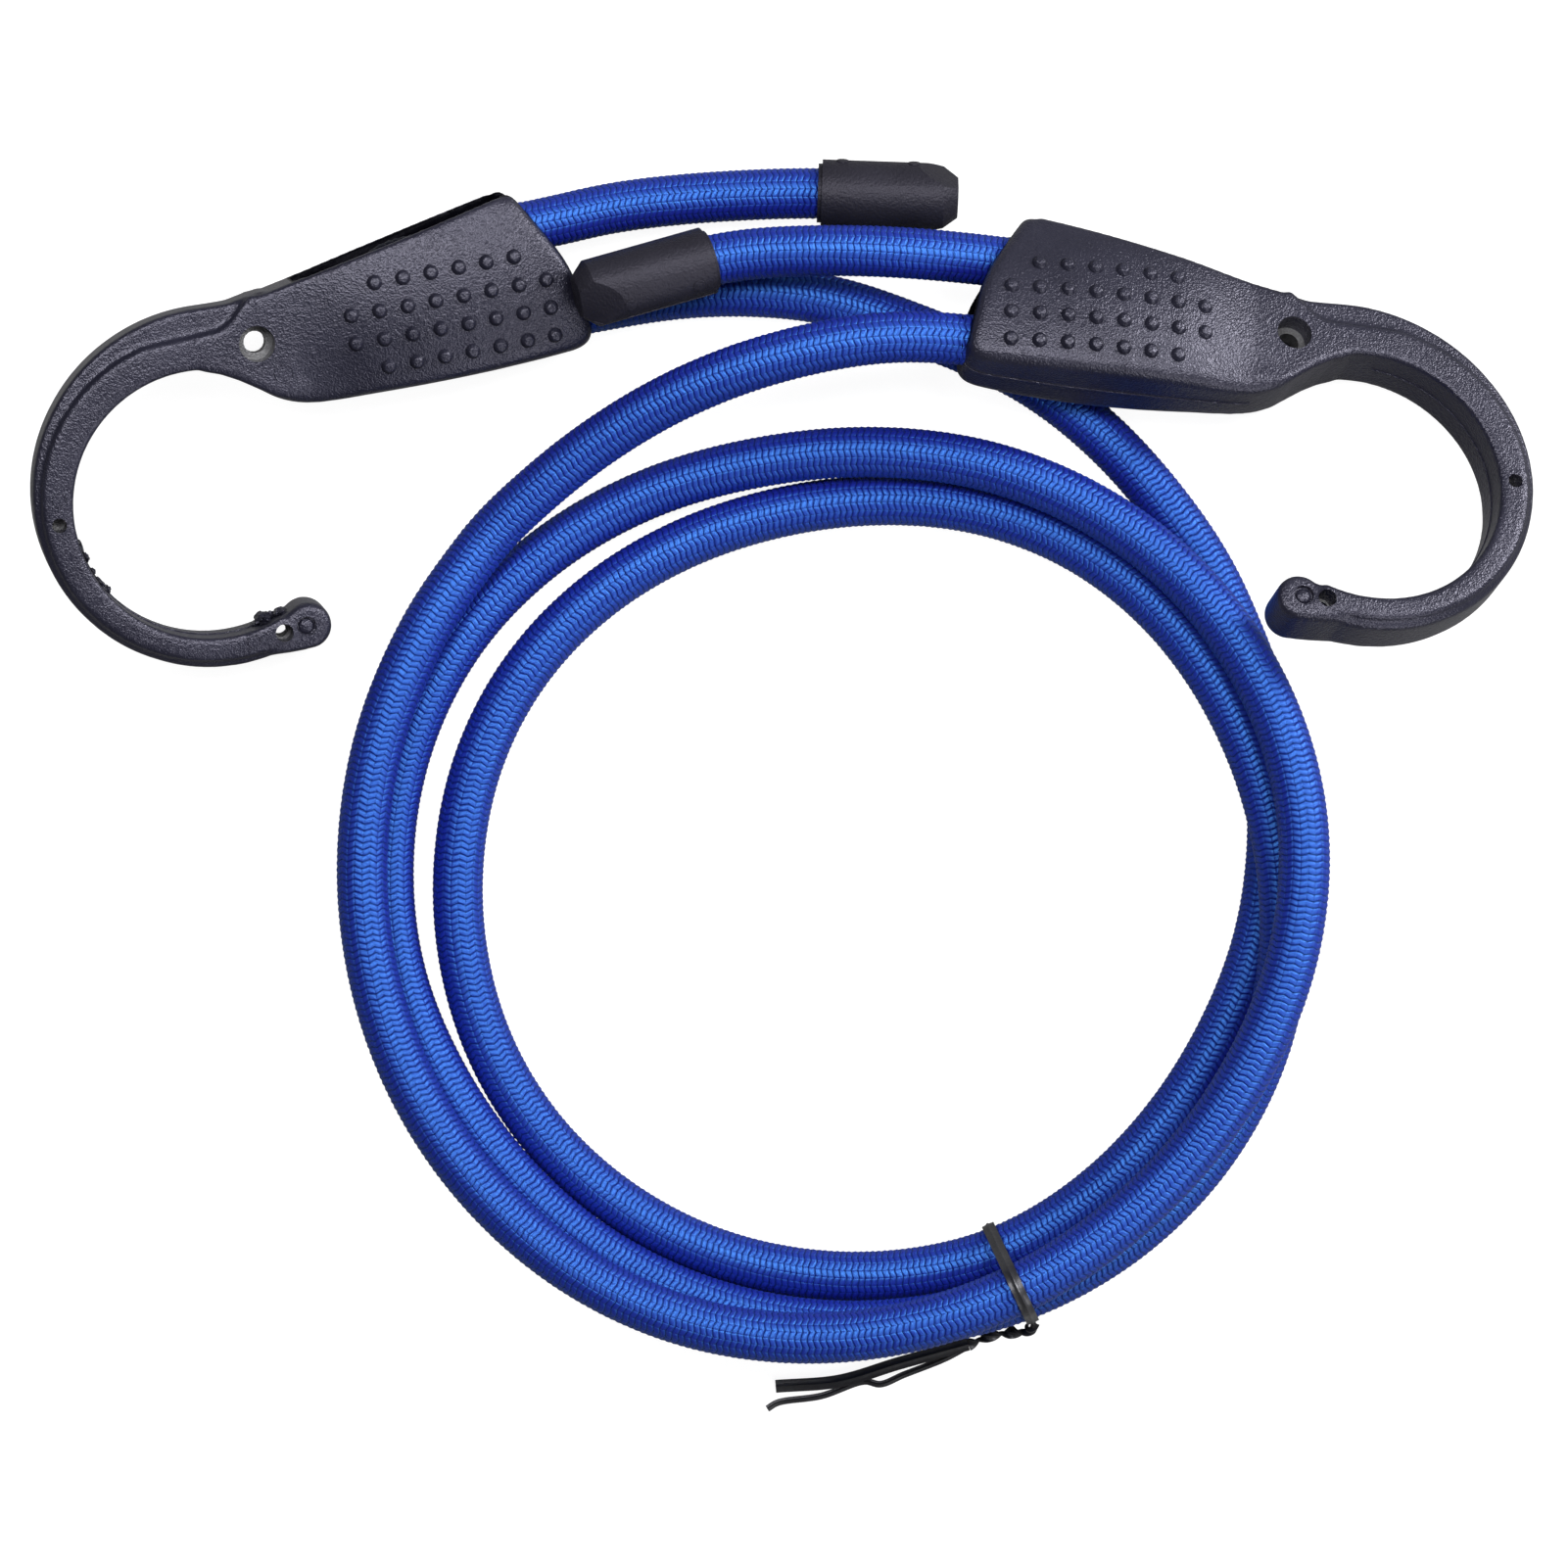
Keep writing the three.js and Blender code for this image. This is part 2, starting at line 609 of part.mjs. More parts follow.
// A round bar with a chamfered tip and one long flat on each half
function capSolid() {
  const geometry = new THREE.CylinderGeometry(capRadius, capRadius, capLength, 24);
  const coneLength = 2 * capLength;
  const coneSlope = (capRadius - capTipRadius) / capChamferLength;
  const coneBase = capTipRadius + coneSlope * coneLength;
  const cone = new THREE.CylinderGeometry(capTipRadius, coneBase, coneLength, 24);
  cone.translate(0, capLength / 2 - coneLength / 2, 0);
  for (const round of [geometry, cone]) {
    round.rotateZ(-Math.PI / 2);
    round.translate(capLength / 2, 0, 0);
  }
  let solid = toManifold(geometry).intersect(toManifold(cone));
  const cut = new THREE.BoxGeometry(overrun, 2 * overrun, 2 * overrun);
  cut.translate(overrun / 2, 0, 0);
  cut.rotateZ(Math.atan2(capFlatLength, capFlatDepth));
  cut.translate(capLength - capFlatLength, capRadius, 0);
  for (const half of [0, 1]) {
    const flat = cut.clone();
    flat.rotateX(radians(capFlatDegrees) + half * Math.PI);
    solid = solid.subtract(toManifold(flat));
  }
  const bore = new THREE.CylinderGeometry(capBore, capBore, 2 * capBoreDepth, 20);
  bore.rotateZ(-Math.PI / 2);
  return solid.subtract(toManifold(bore));
}

function capHalf(side) {
  const keep = box(
    [2 * capLength + overrun, 2 * overrun, overrun],
    [0, 0, side * (overrun / 2 + clearance / 2)],
  );
  let solid = capSolid().intersect(keep);
  if (side > 0) {
    solid = solid.subtract(box([2 * capStep, 2 * overrun, 2 * overrun], [0, 0, 0]));
    for (const reachShare of capMarkShares) {
      const mark = new THREE.CylinderGeometry(capMarkRadius, capMarkRadius, 2 * capMarkDepth, 10);
      mark.translate(capLength * reachShare, capRadius, 0);
      mark.rotateX(radians(capMarkDegrees));
      solid = solid.subtract(toManifold(mark));
    }
  }
  return solid;
}

function poseMatrix(place, heading, pitch, roll) {
  const turn = new THREE.Euler(radians(roll), radians(pitch), radians(heading), 'ZYX');
  return new THREE.Matrix4().makeRotationFromEuler(turn).setPosition(...place);
}

function named(name, geometry, material, matrix) {
  const mesh = new THREE.Mesh(geometry, material);
  mesh.name = name;
  if (matrix) mesh.applyMatrix4(matrix);
  return mesh;
}

// The hook stands on its lowest point
function restHeight(geometry, pose) {
  const turned = geometry.clone();
  turned.applyMatrix4(poseMatrix([0, 0, 0], pose.heading, pose.pitch, pose.roll));
  turned.computeBoundingBox();
  return -turned.boundingBox.min.z;
}

// Round hull of the strands that the tie goes round, in the plane of radius and height
function tieLoop() {
  const strands = [tieDegrees, tieDegrees + 360, tieDegrees + 720].map((degrees) => {
    const point = coilPoint(degrees);
    return [Math.hypot(point.x - coilCentre.x, point.y - coilCentre.y), point.z];
  });
  const reach = cordRadius + tieClearance + tieThickness / 2;
  const turn = radians(tieDegrees);
  const outwardWay = new THREE.Vector3(Math.sin(turn), Math.cos(turn), 0);
  const across = new THREE.Vector3(Math.cos(turn), -Math.sin(turn), 0);
  const stations = [];
  const steps = 36;
  for (let step = 0; step < steps; step += 1) {
    const angle = (2 * Math.PI * step) / steps;
    const way = [Math.cos(angle), Math.sin(angle)];
    let best = strands[0];
    for (const strand of strands) {
      if (strand[0] * way[0] + strand[1] * way[1] > best[0] * way[0] + best[1] * way[1]) best = strand;
    }
    const radial = best[0] + reach * way[0];
    const height = Math.max(best[1] + reach * way[1], tieThickness / 2);
    const place = new THREE.Vector3(coilCentre.x, coilCentre.y, height).addScaledVector(outwardWay, radial);
    stations.push({ place, across });
  }
  return stations;
}

// The tie's loop, its twisted part and its two loose ends, in one solid
const tieKnotPlaces = [
  [44.3, -158.8, 9.4], [43.8, -160.6, 6.6], [41, -162.3, 3.8], [37, -163.2, 2.3], [33, -164.8, 1.4],
];
const tieEndPlaces = [
  [[33, -164.8, 1.5], [29, -166.3, 1.4], [20, -168.9, 1.4], [8.7, -170.9, 1.0], [-1.5, -171.6, 0.6]],
  [[33, -164.8, 1.3], [29, -167, 1.1], [20.3, -170, 0.7], [17.1, -171.2, 0.7], [13.8, -170.7, 0.7],
    [5, -173.1, 0.7], [-3.3, -175.7, 0.7]],
];
const tieTwists = 2;
const tieEndShares = [1, 0.6];

function twistTie() {
  let solid = toManifold(strip(tieLoop(), true));
  const path = new THREE.CatmullRomCurve3(tieKnotPlaces.map((place) => new THREE.Vector3(...place)));
  const steps = 16;
  const stations = [];
  for (let step = 0; step <= steps; step += 1) {
    const way = path.getTangentAt(step / steps);
    const flat = new THREE.Vector3(-way.y, way.x, 0).normalize();
    const across = flat.applyAxisAngle(way, (2 * Math.PI * tieTwists * step) / steps);
    stations.push({ place: path.getPointAt(step / steps), across });
  }
  solid = solid.add(toManifold(strip(stations, false)));
  tieEndPlaces.forEach((list, index) => {
    const end = new THREE.CatmullRomCurve3(list.map((place) => new THREE.Vector3(...place)));
    const pieces = 14;
    const along = [];
    for (let step = 0; step <= pieces; step += 1) {
      const way = end.getTangentAt(step / pieces);
      along.push({
        place: end.getPointAt(step / pieces),
        across: new THREE.Vector3(-way.y, way.x, 0),
        width: tieWidth * tieEndShares[index],
      });
    }
    solid = solid.add(toManifold(strip(along, false)));
  });
  return solid;
}

const model = new THREE.Group();

const bodyGeometry = toGeometry(hookBody());
const coreGeometry = toGeometry(hookCore(0));
const turnGeometry = tube(turnRoute(), 10, 30);
const upperCap = toGeometry(capHalf(1));
const lowerCap = toGeometry(capHalf(-1));

const hookMatrix = {};
for (const side of ['left', 'right']) {
  const pose = hookPoses[side];
  const height = restHeight(bodyGeometry, pose);
  hookMatrix[side] = poseMatrix([...pose.neck, height], pose.heading, pose.pitch, pose.roll);
  model.add(named(`${side}_hook_body`, bodyGeometry, nylon, hookMatrix[side]));
  model.add(named(`${side}_hook_core`, coreGeometry, steel, hookMatrix[side]));
  model.add(named(`${side}_cord_turn`, turnGeometry, braid, hookMatrix[side]));
  const cap = capPlaces[side];
  const capMatrix = poseMatrix(cap.mouth, cap.heading, cap.pitch, cap.roll);
  model.add(named(`${side}_cap_upper`, upperCap, capNylon, capMatrix));
  model.add(named(`${side}_cap_lower`, lowerCap, capNylon, capMatrix));
}

// Where the cord leaves the grip, and the point just outside it
function exitPair(side, exit) {
  return [clearance, clearance + cordRadius].map((on) => (
    new THREE.Vector3(exit[0] + on, exit[1], 0).applyMatrix4(hookMatrix[side])
  ));
}

function capInside(side) {
  const cap = capPlaces[side];
  const matrix = poseMatrix(cap.mouth, cap.heading, cap.pitch, cap.roll);
  return [0, capBoreDepth / 2, capBoreDepth - clearance].map((depth) => (
    new THREE.Vector3(depth, 0, 0).applyMatrix4(matrix)
  ));
}

const places = (list) => list.map((place) => new THREE.Vector3(...place));

const coil = coilRoute();
const coilStartWay = coil[0].clone().sub(coil[1]).normalize();
const coilEndWay = coil[coil.length - 1].clone().sub(coil[coil.length - 2]).normalize();
const beforeCoil = [cordRadius, 0].map((back) => (
  coil[0].clone().addScaledVector(coilStartWay, clearance + back)
));
const afterCoil = [0, cordRadius].map((on) => (
  coil[coil.length - 1].clone().addScaledVector(coilEndWay, clearance + on)
));

const routes = {
  left_tail: [...exitPair('left', tailExit), ...places(leftTailPlaces), ...capInside('left')],
  left_leg: [...exitPair('left', legExit), ...places(leftLegPlaces), ...beforeCoil],
  cord_coil: coil,
  right_leg: [...afterCoil, ...places(rightLegPlaces), ...exitPair('right', legExit).reverse()],
  right_tail: [...exitPair('right', tailExit), ...places(rightTailPlaces), ...capInside('right')],
};
const runs = {
  left_tail: [8, 14],
  left_leg: [8, 26],
  cord_coil: [6, Math.round(((coilTo - coilFrom) * stepsPerTurn) / 360)],
  right_leg: [8, 20],
  right_tail: [8, 16],
};
for (const [name, route] of Object.entries(routes)) {
  const [sides, steps] = runs[name];
  model.add(named(name, tube(route, sides, steps), braid));
  const length = new THREE.CatmullRomCurve3(route, false, 'centripetal').getLength();
  console.log(name, 'length', length.toFixed(1), 'least gap to itself', leastGap(route).toFixed(2));
}

model.add(named('twist_tie', toGeometry(twistTie()), ribbonPlastic));

export default model;
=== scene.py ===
import bpy
import json
import math
import random
import numpy as np
from mathutils import Matrix, Vector

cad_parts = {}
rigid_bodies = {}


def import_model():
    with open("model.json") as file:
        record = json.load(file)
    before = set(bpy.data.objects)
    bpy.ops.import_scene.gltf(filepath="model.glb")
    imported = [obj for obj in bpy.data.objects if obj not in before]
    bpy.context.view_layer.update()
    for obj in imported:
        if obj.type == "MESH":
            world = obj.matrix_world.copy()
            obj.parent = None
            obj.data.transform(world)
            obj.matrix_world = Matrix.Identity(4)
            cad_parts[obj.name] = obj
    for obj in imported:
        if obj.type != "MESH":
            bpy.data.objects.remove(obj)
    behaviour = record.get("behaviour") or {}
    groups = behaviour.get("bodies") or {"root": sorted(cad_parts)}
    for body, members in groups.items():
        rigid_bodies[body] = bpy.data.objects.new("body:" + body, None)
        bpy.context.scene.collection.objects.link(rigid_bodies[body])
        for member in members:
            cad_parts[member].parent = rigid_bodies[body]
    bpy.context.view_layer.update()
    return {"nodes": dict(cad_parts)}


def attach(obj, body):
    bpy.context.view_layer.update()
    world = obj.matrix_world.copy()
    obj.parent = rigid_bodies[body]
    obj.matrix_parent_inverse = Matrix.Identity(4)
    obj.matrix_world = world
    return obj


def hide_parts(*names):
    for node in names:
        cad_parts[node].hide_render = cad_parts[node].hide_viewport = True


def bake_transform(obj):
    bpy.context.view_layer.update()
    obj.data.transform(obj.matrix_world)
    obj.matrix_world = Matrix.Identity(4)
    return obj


for leftover in list(bpy.data.objects):
    bpy.data.objects.remove(leftover)
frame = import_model()
random.seed(11)
mm = 0.001
scene = bpy.context.scene


# camera, straight above the table
cameraSettings = {
    "place": (0.0, -0.063, 0.9),
    "halfView": 0.14009,
    "viewDistance": 0.8955,
    "clipStart": 0.01,
}


def makeCamera(s):
    bpy.ops.object.camera_add(location=s["place"], rotation=(0, 0, 0))
    camera = bpy.context.object
    camera.data.sensor_fit = "HORIZONTAL"
    camera.data.angle = 2 * math.atan(s["halfView"] / s["viewDistance"])
    camera.data.clip_start = s["clipStart"]
    camera.data.dof.use_dof = False
    scene.camera = camera


makeCamera(cameraSettings)
print("camera made")


# lights: two softboxes high behind the object, a strong one far to the right, a weak low one at the back
# and a fill in front
lightSettings = [
    {"name": "leftBox", "place": (-0.2, 0.17, 0.75), "aim": (0, -0.05, 0), "size": 0.28, "power": 4.6},
    {"name": "rightBox", "place": (0.235, 0.17, 0.75), "aim": (0, -0.05, 0), "size": 0.28, "power": 4.6},
    {"name": "sideBox", "place": (0.95, 0.5, 0.45), "aim": (0.1, 0, 0), "size": 0.35, "power": 14.5},
    {"name": "lowBox", "place": (0.2, 0.9, 0.38), "aim": (0, 0, 0), "size": 0.4, "power": 0.5},
    {"name": "frontFill", "place": (0.55, -0.62, 0.5), "aim": (0, -0.1, 0), "size": 0.5, "power": 4},
]
worldSettings = {"ambient": 0.06, "shown": 1.0, "glossy": 0.1}
floorSettings = {"size": 6.0, "colour": (0.2, 0.2, 0.2, 1), "roughness": 0.9, "specular": 0.1, "glow": 0.93}


def makeLights(settings):
    for s in settings:
        bpy.ops.object.light_add(type="AREA", location=s["place"])
        light = bpy.context.object
        light.name = s["name"]
        light.data.size = s["size"]
        light.data.energy = s["power"]
        way = Vector(s["aim"]) - Vector(s["place"])
        light.rotation_euler = way.to_track_quat("-Z", "Y").to_euler()


def addNode(tree, kind, **values):
    node = tree.nodes.new(kind)
    for key, value in values.items():
        setattr(node, key, value)
    return node


def newMaterial(name, colour, roughness, specular=0.5, metallic=0.0):
    material = bpy.data.materials.new(name)
    material.use_nodes = True
    shader = material.node_tree.nodes["Principled BSDF"]
    shader.inputs["Base Color"].default_value = colour
    shader.inputs["Roughness"].default_value = roughness
    shader.inputs["Specular IOR Level"].default_value = specular
    shader.inputs["Metallic"].default_value = metallic
    return material, material.node_tree, shader


def rangeNode(tree, value, low, high):
    node = addNode(tree, "ShaderNodeMapRange")
    node.inputs["To Min"].default_value, node.inputs["To Max"].default_value = low, high
    tree.links.new(value, node.inputs["Value"])
    return node


def makeWorld(s):
    world = bpy.data.worlds.new("studio")
    scene.world = world
    world.use_nodes = True
    tree = world.node_tree
    background = tree.nodes["Background"]
    background.inputs["Color"].default_value = (1, 1, 1, 1)
    path = addNode(tree, "ShaderNodeLightPath")
    glossy = addNode(tree, "ShaderNodeMath", operation="MAXIMUM")
    tree.links.new(path.outputs["Is Glossy Ray"], glossy.inputs[0])
    tree.links.new(path.outputs["Is Transmission Ray"], glossy.inputs[1])
    first = rangeNode(tree, glossy.outputs[0], s["ambient"], s["glossy"])
    last = rangeNode(tree, path.outputs["Is Camera Ray"], 0, s["shown"])
    tree.links.new(first.outputs[0], last.inputs["To Min"])
    tree.links.new(last.outputs[0], background.inputs["Strength"])


def makeFloor(s):
    bpy.ops.mesh.primitive_plane_add(size=s["size"], location=(0, 0, 0))
    floor = bpy.context.object
    floor.name = "tableTop"
    material, tree, shader = newMaterial("paleTable", s["colour"], s["roughness"], s["specular"])
    glow = addNode(tree, "ShaderNodeEmission")
    glow.inputs["Strength"].default_value = s["glow"]
    path = addNode(tree, "ShaderNodeLightPath")
    add = addNode(tree, "ShaderNodeAddShader")
    mix = addNode(tree, "ShaderNodeMixShader")
    output = tree.nodes["Material Output"]
    tree.links.new(path.outputs["Is Camera Ray"], mix.inputs[0])
    tree.links.new(shader.outputs[0], mix.inputs[1])
    tree.links.new(shader.outputs[0], add.inputs[0])
    tree.links.new(glow.outputs[0], add.inputs[1])
    tree.links.new(add.outputs[0], mix.inputs[2])
    tree.links.new(mix.outputs[0], output.inputs["Surface"])
    floor.data.materials.append(material)


makeLights(lightSettings)
makeWorld(worldSettings)
makeFloor(floorSettings)
scene.view_settings.view_transform = "Standard"
print("studio made")


# how each hook and each cap lies: place of its neck or mouth in mm, then heading, pitch and roll in degrees
hookPoses = {
    "left": {"neck": (-93.3, 14.9, 18.485), "heading": 11.6, "pitch": 10, "roll": 12.3},
    "right": {"neck": (89.1, 14.6, 9.556), "heading": 175, "pitch": -10, "roll": 203.3},
}
capPoses = {
    "left": {"neck": (6, 42.4, 6.3), "heading": -2, "pitch": 0, "roll": -14},
    "right": {"neck": (-12.9, 29.6, 15.3), "heading": 197, "pitch": -11, "roll": 9},
}


def poseMatrix(pose):
    turn = Matrix.Rotation(math.radians(pose["heading"]), 4, "Z")
    turn = turn @ Matrix.Rotation(math.radians(pose["pitch"]), 4, "Y")
    turn = turn @ Matrix.Rotation(math.radians(pose["roll"]), 4, "X")
    return Matrix.Translation(Vector(pose["neck"]) * mm) @ turn


# the cord's braid and its route, in mm, where the route is the CAD part's but for the pressed strands
cordSettings = {
    "diameter": 9.0,
    "columns": 20,
    "ribPitch": 1.12,
    "ribHeight": 0.16,
    "ribTilt": 0.36,
    # how far the ribs stand out and the dips between them go in, in shares of their height
    "crestShare": 0.3,
    "dipShare": 0.7,
    # where one column of ribs meets the next the ribs keep less of their height and lie lower
    "meetShare": 0.7,
    "meetDipShare": 0.15,
    "unevenness": 0.015,
    # how much and how fast the slant of the ribs changes along the cord, and by chance
    "tiltChange": 0.25,
    "tiltPace": 0.021,
    "tiltChance": 0.05,
    "seed": 5,
    "routeSteps": 24,
    "stationSteps": 40,
    "turnSteps": 8,
    "smoothing": 5.0,
    "easing": 1.5,
    # at these depths in a grip the cord gets painted shade, dark and without shine
    "paintedShadeFrom": (9.0, 18.0),
    "turnsOfTwist": 1.0,
    "exitReach": {"leg": 59.8, "tail": 54.6},
    "exitSide": {"leg": -5.16, "tail": 11.14},
    "postReach": 28.5,
    "postSide": 1.54,
    "turnRadius": 7.2,
    "runShares": [(0.2, 0.1), (0.5, 0.6), (0.8, 1)],
    "capDepths": (18.2, 9.25, 0.0),
    "bendInGrip": 14.0,
    "bendAhead": 10,
    "bendInCap": 20,
    "declaredEvery": 3,
    "leftTail": [(-35.2, 38.6, 9.2), (-28.5, 39.9, 8.2), (-17.2, 41.3, 6.9), (-5.3, 42.1, 6.4)],
    "leftLeg": [
        (-20.2, 24.5, 4.7), (-10.1, 25.1, 4.6), (0, 24.7, 4.6), (9, 23.4, 4.6), (26.7, 17.1, 4.6),
        (42.9, 10, 4.6), (56.7, -0.4, 4.6), (67.9, -12.8, 4.6), (76.9, -26.1, 4.6), (82.9, -40.2, 4.6),
    ],
    "rightLeg": [
        (-48.1, -14.9, 11.6), (-42.3, -9.6, 12.7), (-36.1, -4.8, 14.2), (-29.5, -0.4, 16), (-22.5, 3.6, 18),
        (-15.2, 7, 20), (-7.5, 9.9, 21.7), (0.5, 12.2, 22.9), (8.8, 14, 23.6), (17.4, 15.2, 23.8),
    ],
    "rightTail": [(22.4, 30.6, 16.8), (11.1, 31.1, 16.3), (-0.1, 31, 15.6), (-7, 30.6, 15.1)],
    "coilCentre": (9, -83),
    "stepDegrees": 15,
    # degrees clockwise from the top, radius and height
    "coilStations": [
        (65, 83.9, 4.6), (80, 79.6, 4.6), (95, 76.4, 4.6), (110, 73.4, 4.6), (130, 71.2, 5.0),
        (155, 70.0, 5.7), (180, 67.8, 5.0), (210, 66.8, 4.6), (240, 67.2, 4.6), (270, 67.4, 4.6),
        (300, 68.4, 4.6), (340, 68.6, 4.6), (360, 70.3, 4.6), (375, 72.9, 4.7), (390, 75.5, 5.7),
        (405, 77.0, 8.5), (420, 77.6, 11.9), (435, 78.3, 13.9), (450, 79.6, 14.0), (465, 80.8, 12.2),
        (480, 81.1, 9.7), (495, 80.4, 8.7), (510, 79.0, 9.9), (525, 77.4, 10.3), (540, 76.6, 9.2),
        (560, 76.1, 8.0), (585, 76.1, 7.3), (600, 76.5, 7.0), (615, 78.3, 5.4), (630, 79.7, 4.7),
        (660, 81.2, 4.6), (690, 79.6, 4.8), (705, 78.6, 6.3), (720, 78.9, 9.0), (735, 80.7, 10.8),
        (750, 82.3, 12.5), (765, 83.6, 15.5), (780, 83.9, 19.2), (795, 83.5, 22.3), (810, 81.9, 23.3),
        (825, 79.5, 22.3), (840, 77.6, 19.8), (855, 76.2, 19.0), (870, 75.9, 19.7), (885, 76.3, 20.0),
        (900, 77.4, 19.1), (915, 78.8, 17.9), (930, 80.0, 16.6), (960, 81.6, 15.2), (990, 83.6, 13.8),
        (1020, 86.6, 12.8), (1035, 88.4, 10.8),
    ],
    # where the lowest strands press together: degrees, push of the radius
    "pressed": [(210, 0.4), (562, -0.3)],
    "pressedSpan": 36,
}


def between(a, b, atA, atB, t):
    return a * (atB - t) / (atB - atA) + b * (t - atA) / (atB - atA)


def catmullRom(points, steps, alpha=0.5):
    # points on a Catmull-Rom curve through the given places, steps to each span
    p = [np.array(q, float) for q in points]
    p = [2 * p[0] - p[1]] + p + [2 * p[-1] - p[-2]]
    out = []
    for i in range(1, len(p) - 2):
        p0, p1, p2, p3 = p[i - 1:i + 3]
        t1 = np.linalg.norm(p1 - p0) ** alpha
        t2 = t1 + np.linalg.norm(p2 - p1) ** alpha
        t3 = t2 + np.linalg.norm(p3 - p2) ** alpha
        for k in range(steps):
            t = t1 + (t2 - t1) * k / steps
            a1 = between(p0, p1, 0, t1, t)
            a2 = between(p1, p2, t1, t2, t)
            a3 = between(p2, p3, t2, t3, t)
            b1 = between(a1, a2, 0, t2, t)
            b2 = between(a2, a3, t1, t3, t)
            out.append(between(b1, b2, t1, t2, t))
    out.append(p[-2])
    return np.array(out)


def coilPoints(s):
    stations = catmullRom(s["coilStations"], s["stationSteps"], alpha=0)
    first, last = s["coilStations"][0][0], s["coilStations"][-1][0]
    degrees = np.append(np.arange(first, last, s["stepDegrees"]), last)
    radius = np.interp(degrees, stations[:, 0], stations[:, 1])
    height = np.interp(degrees, stations[:, 0], stations[:, 2])
    for middle, push in s["pressed"]:
        radius = radius + push * np.exp(-((degrees - middle) / s["pressedSpan"]) ** 2)
    turn = np.radians(degrees)
    return np.stack([
        s["coilCentre"][0] + radius * np.sin(turn),
        s["coilCentre"][1] + radius * np.cos(turn),
        height,
    ], axis=1)


def gripRoute(s, side):
    # from the tail's exit round the post to the leg's exit
    leg, tail = s["exitReach"]["leg"], s["exitReach"]["tail"]
    post, middle, radius = s["postReach"], s["postSide"], s["turnRadius"]
    points = [(tail, s["exitSide"]["tail"], 0)]
    for reach, shift in reversed(s["runShares"]):
        v = middle + radius + (s["exitSide"]["tail"] - middle - radius) * shift
        points.append((post + (tail - post) * reach, v, 0))
    for step in range(s["turnSteps"] + 1):
        turn = math.pi / 2 + math.pi * step / s["turnSteps"]
        points.append((post + radius * math.cos(turn), middle + radius * math.sin(turn), 0))
    for reach, shift in s["runShares"]:
        v = middle - radius + (s["exitSide"]["leg"] - middle + radius) * shift
        points.append((post + (leg - post) * reach, v, 0))
    points.append((leg, s["exitSide"]["leg"], 0))
    return [inPlace(point, hookPoses[side]) for point in points]


def inPlace(point, pose):
    return tuple(poseMatrix(pose) @ (Vector(point) * mm) / mm)


def cordRoute(s):
    # the whole cord from cap to cap, with the marks where its pieces meet
    half = s["diameter"] / 2
    points, marks = [], []

    def extend(more, mark=None):
        points.extend(more)
        if mark:
            marks.append((mark, len(points) - 1))

    def pastExit(side, run):
        place = (s["exitReach"][run] + half, s["exitSide"][run], 0)
        return inPlace(place, hookPoses[side])

    coil = [np.array(p) for p in coilPoints(s)]
    startWay = (coil[0] - coil[1]) / np.linalg.norm(coil[0] - coil[1])
    endWay = (coil[-1] - coil[-2]) / np.linalg.norm(coil[-1] - coil[-2])
    marks.append(("left_tail", 0))
    extend([inPlace((d, 0, 0), capPoses["left"]) for d in s["capDepths"]])
    extend(list(reversed(s["leftTail"])) + [pastExit("left", "tail")])
    turn = gripRoute(s, "left")
    extend(turn[:1], "left_cord_turn")
    extend(turn[1:], "left_leg")
    extend([pastExit("left", "leg")] + s["leftLeg"] + [coil[0] + startWay * half])
    extend(coil[:1], "cord_coil")
    extend([coil[0] - startWay * half] + coil[1:-1] + [coil[-1] - endWay * half])
    extend(coil[-1:], "right_leg")
    extend([coil[-1] + endWay * half] + s["rightLeg"] + [pastExit("right", "leg")])
    turn = list(reversed(gripRoute(s, "right")))
    extend(turn[:1], "right_cord_turn")
    extend(turn[1:], "right_tail")
    extend([pastExit("right", "tail")] + s["rightTail"])
    extend([inPlace((d, 0, 0), capPoses["right"]) for d in reversed(s["capDepths"])], "end")
    return points, marks


def evenly(path, step):
    length = np.concatenate([[0], np.cumsum(np.linalg.norm(np.diff(path, axis=0), axis=1))])
    count = int(round(length[-1] / step))
    at = np.linspace(0, length[-1], count + 1)
    return np.stack([np.interp(at, length, path[:, k]) for k in range(3)], axis=1), length


def smoothed(path, reach, easing, keepOut):
    # a bell-shaped mean evens out the path's bends, apart from the tight ones round the two posts
    count = int(3 * reach)
    weight = np.exp(-0.5 * (np.arange(-count, count + 1) / reach) ** 2)
    padded = np.concatenate([
        2 * path[0] - path[count:0:-1], path, 2 * path[-1] - path[-2:-count - 2:-1],
    ])
    soft = np.stack([np.convolve(padded[:, k], weight / weight.sum(), "valid") for k in range(3)], axis=1)
    at = np.arange(len(path))
    keep = np.zeros(len(path))
    for first, last in ((keepOut[1], keepOut[2]), (keepOut[5], keepOut[6])):
        keep = np.maximum(keep, np.clip(np.minimum(at - first, last - at) / reach / easing, 0, 1))
    keep = (keep * keep * (3 - 2 * keep))[:, None]
    return path * keep + soft * (1 - keep)


def carriedFrames(path):
    # normals carried along the path without turning about it
    tangent = np.gradient(path, axis=0)
    tangent /= np.linalg.norm(tangent, axis=1)[:, None]
    normal = np.zeros_like(path)
    up = np.array([0, 0, 1.0])
    n = up - tangent[0] * np.dot(up, tangent[0])
    for i, t in enumerate(tangent):
        n = n - t * np.dot(n, t)
        n = n / np.linalg.norm(n)
        normal[i] = n
    return tangent, normal, np.cross(tangent, normal)


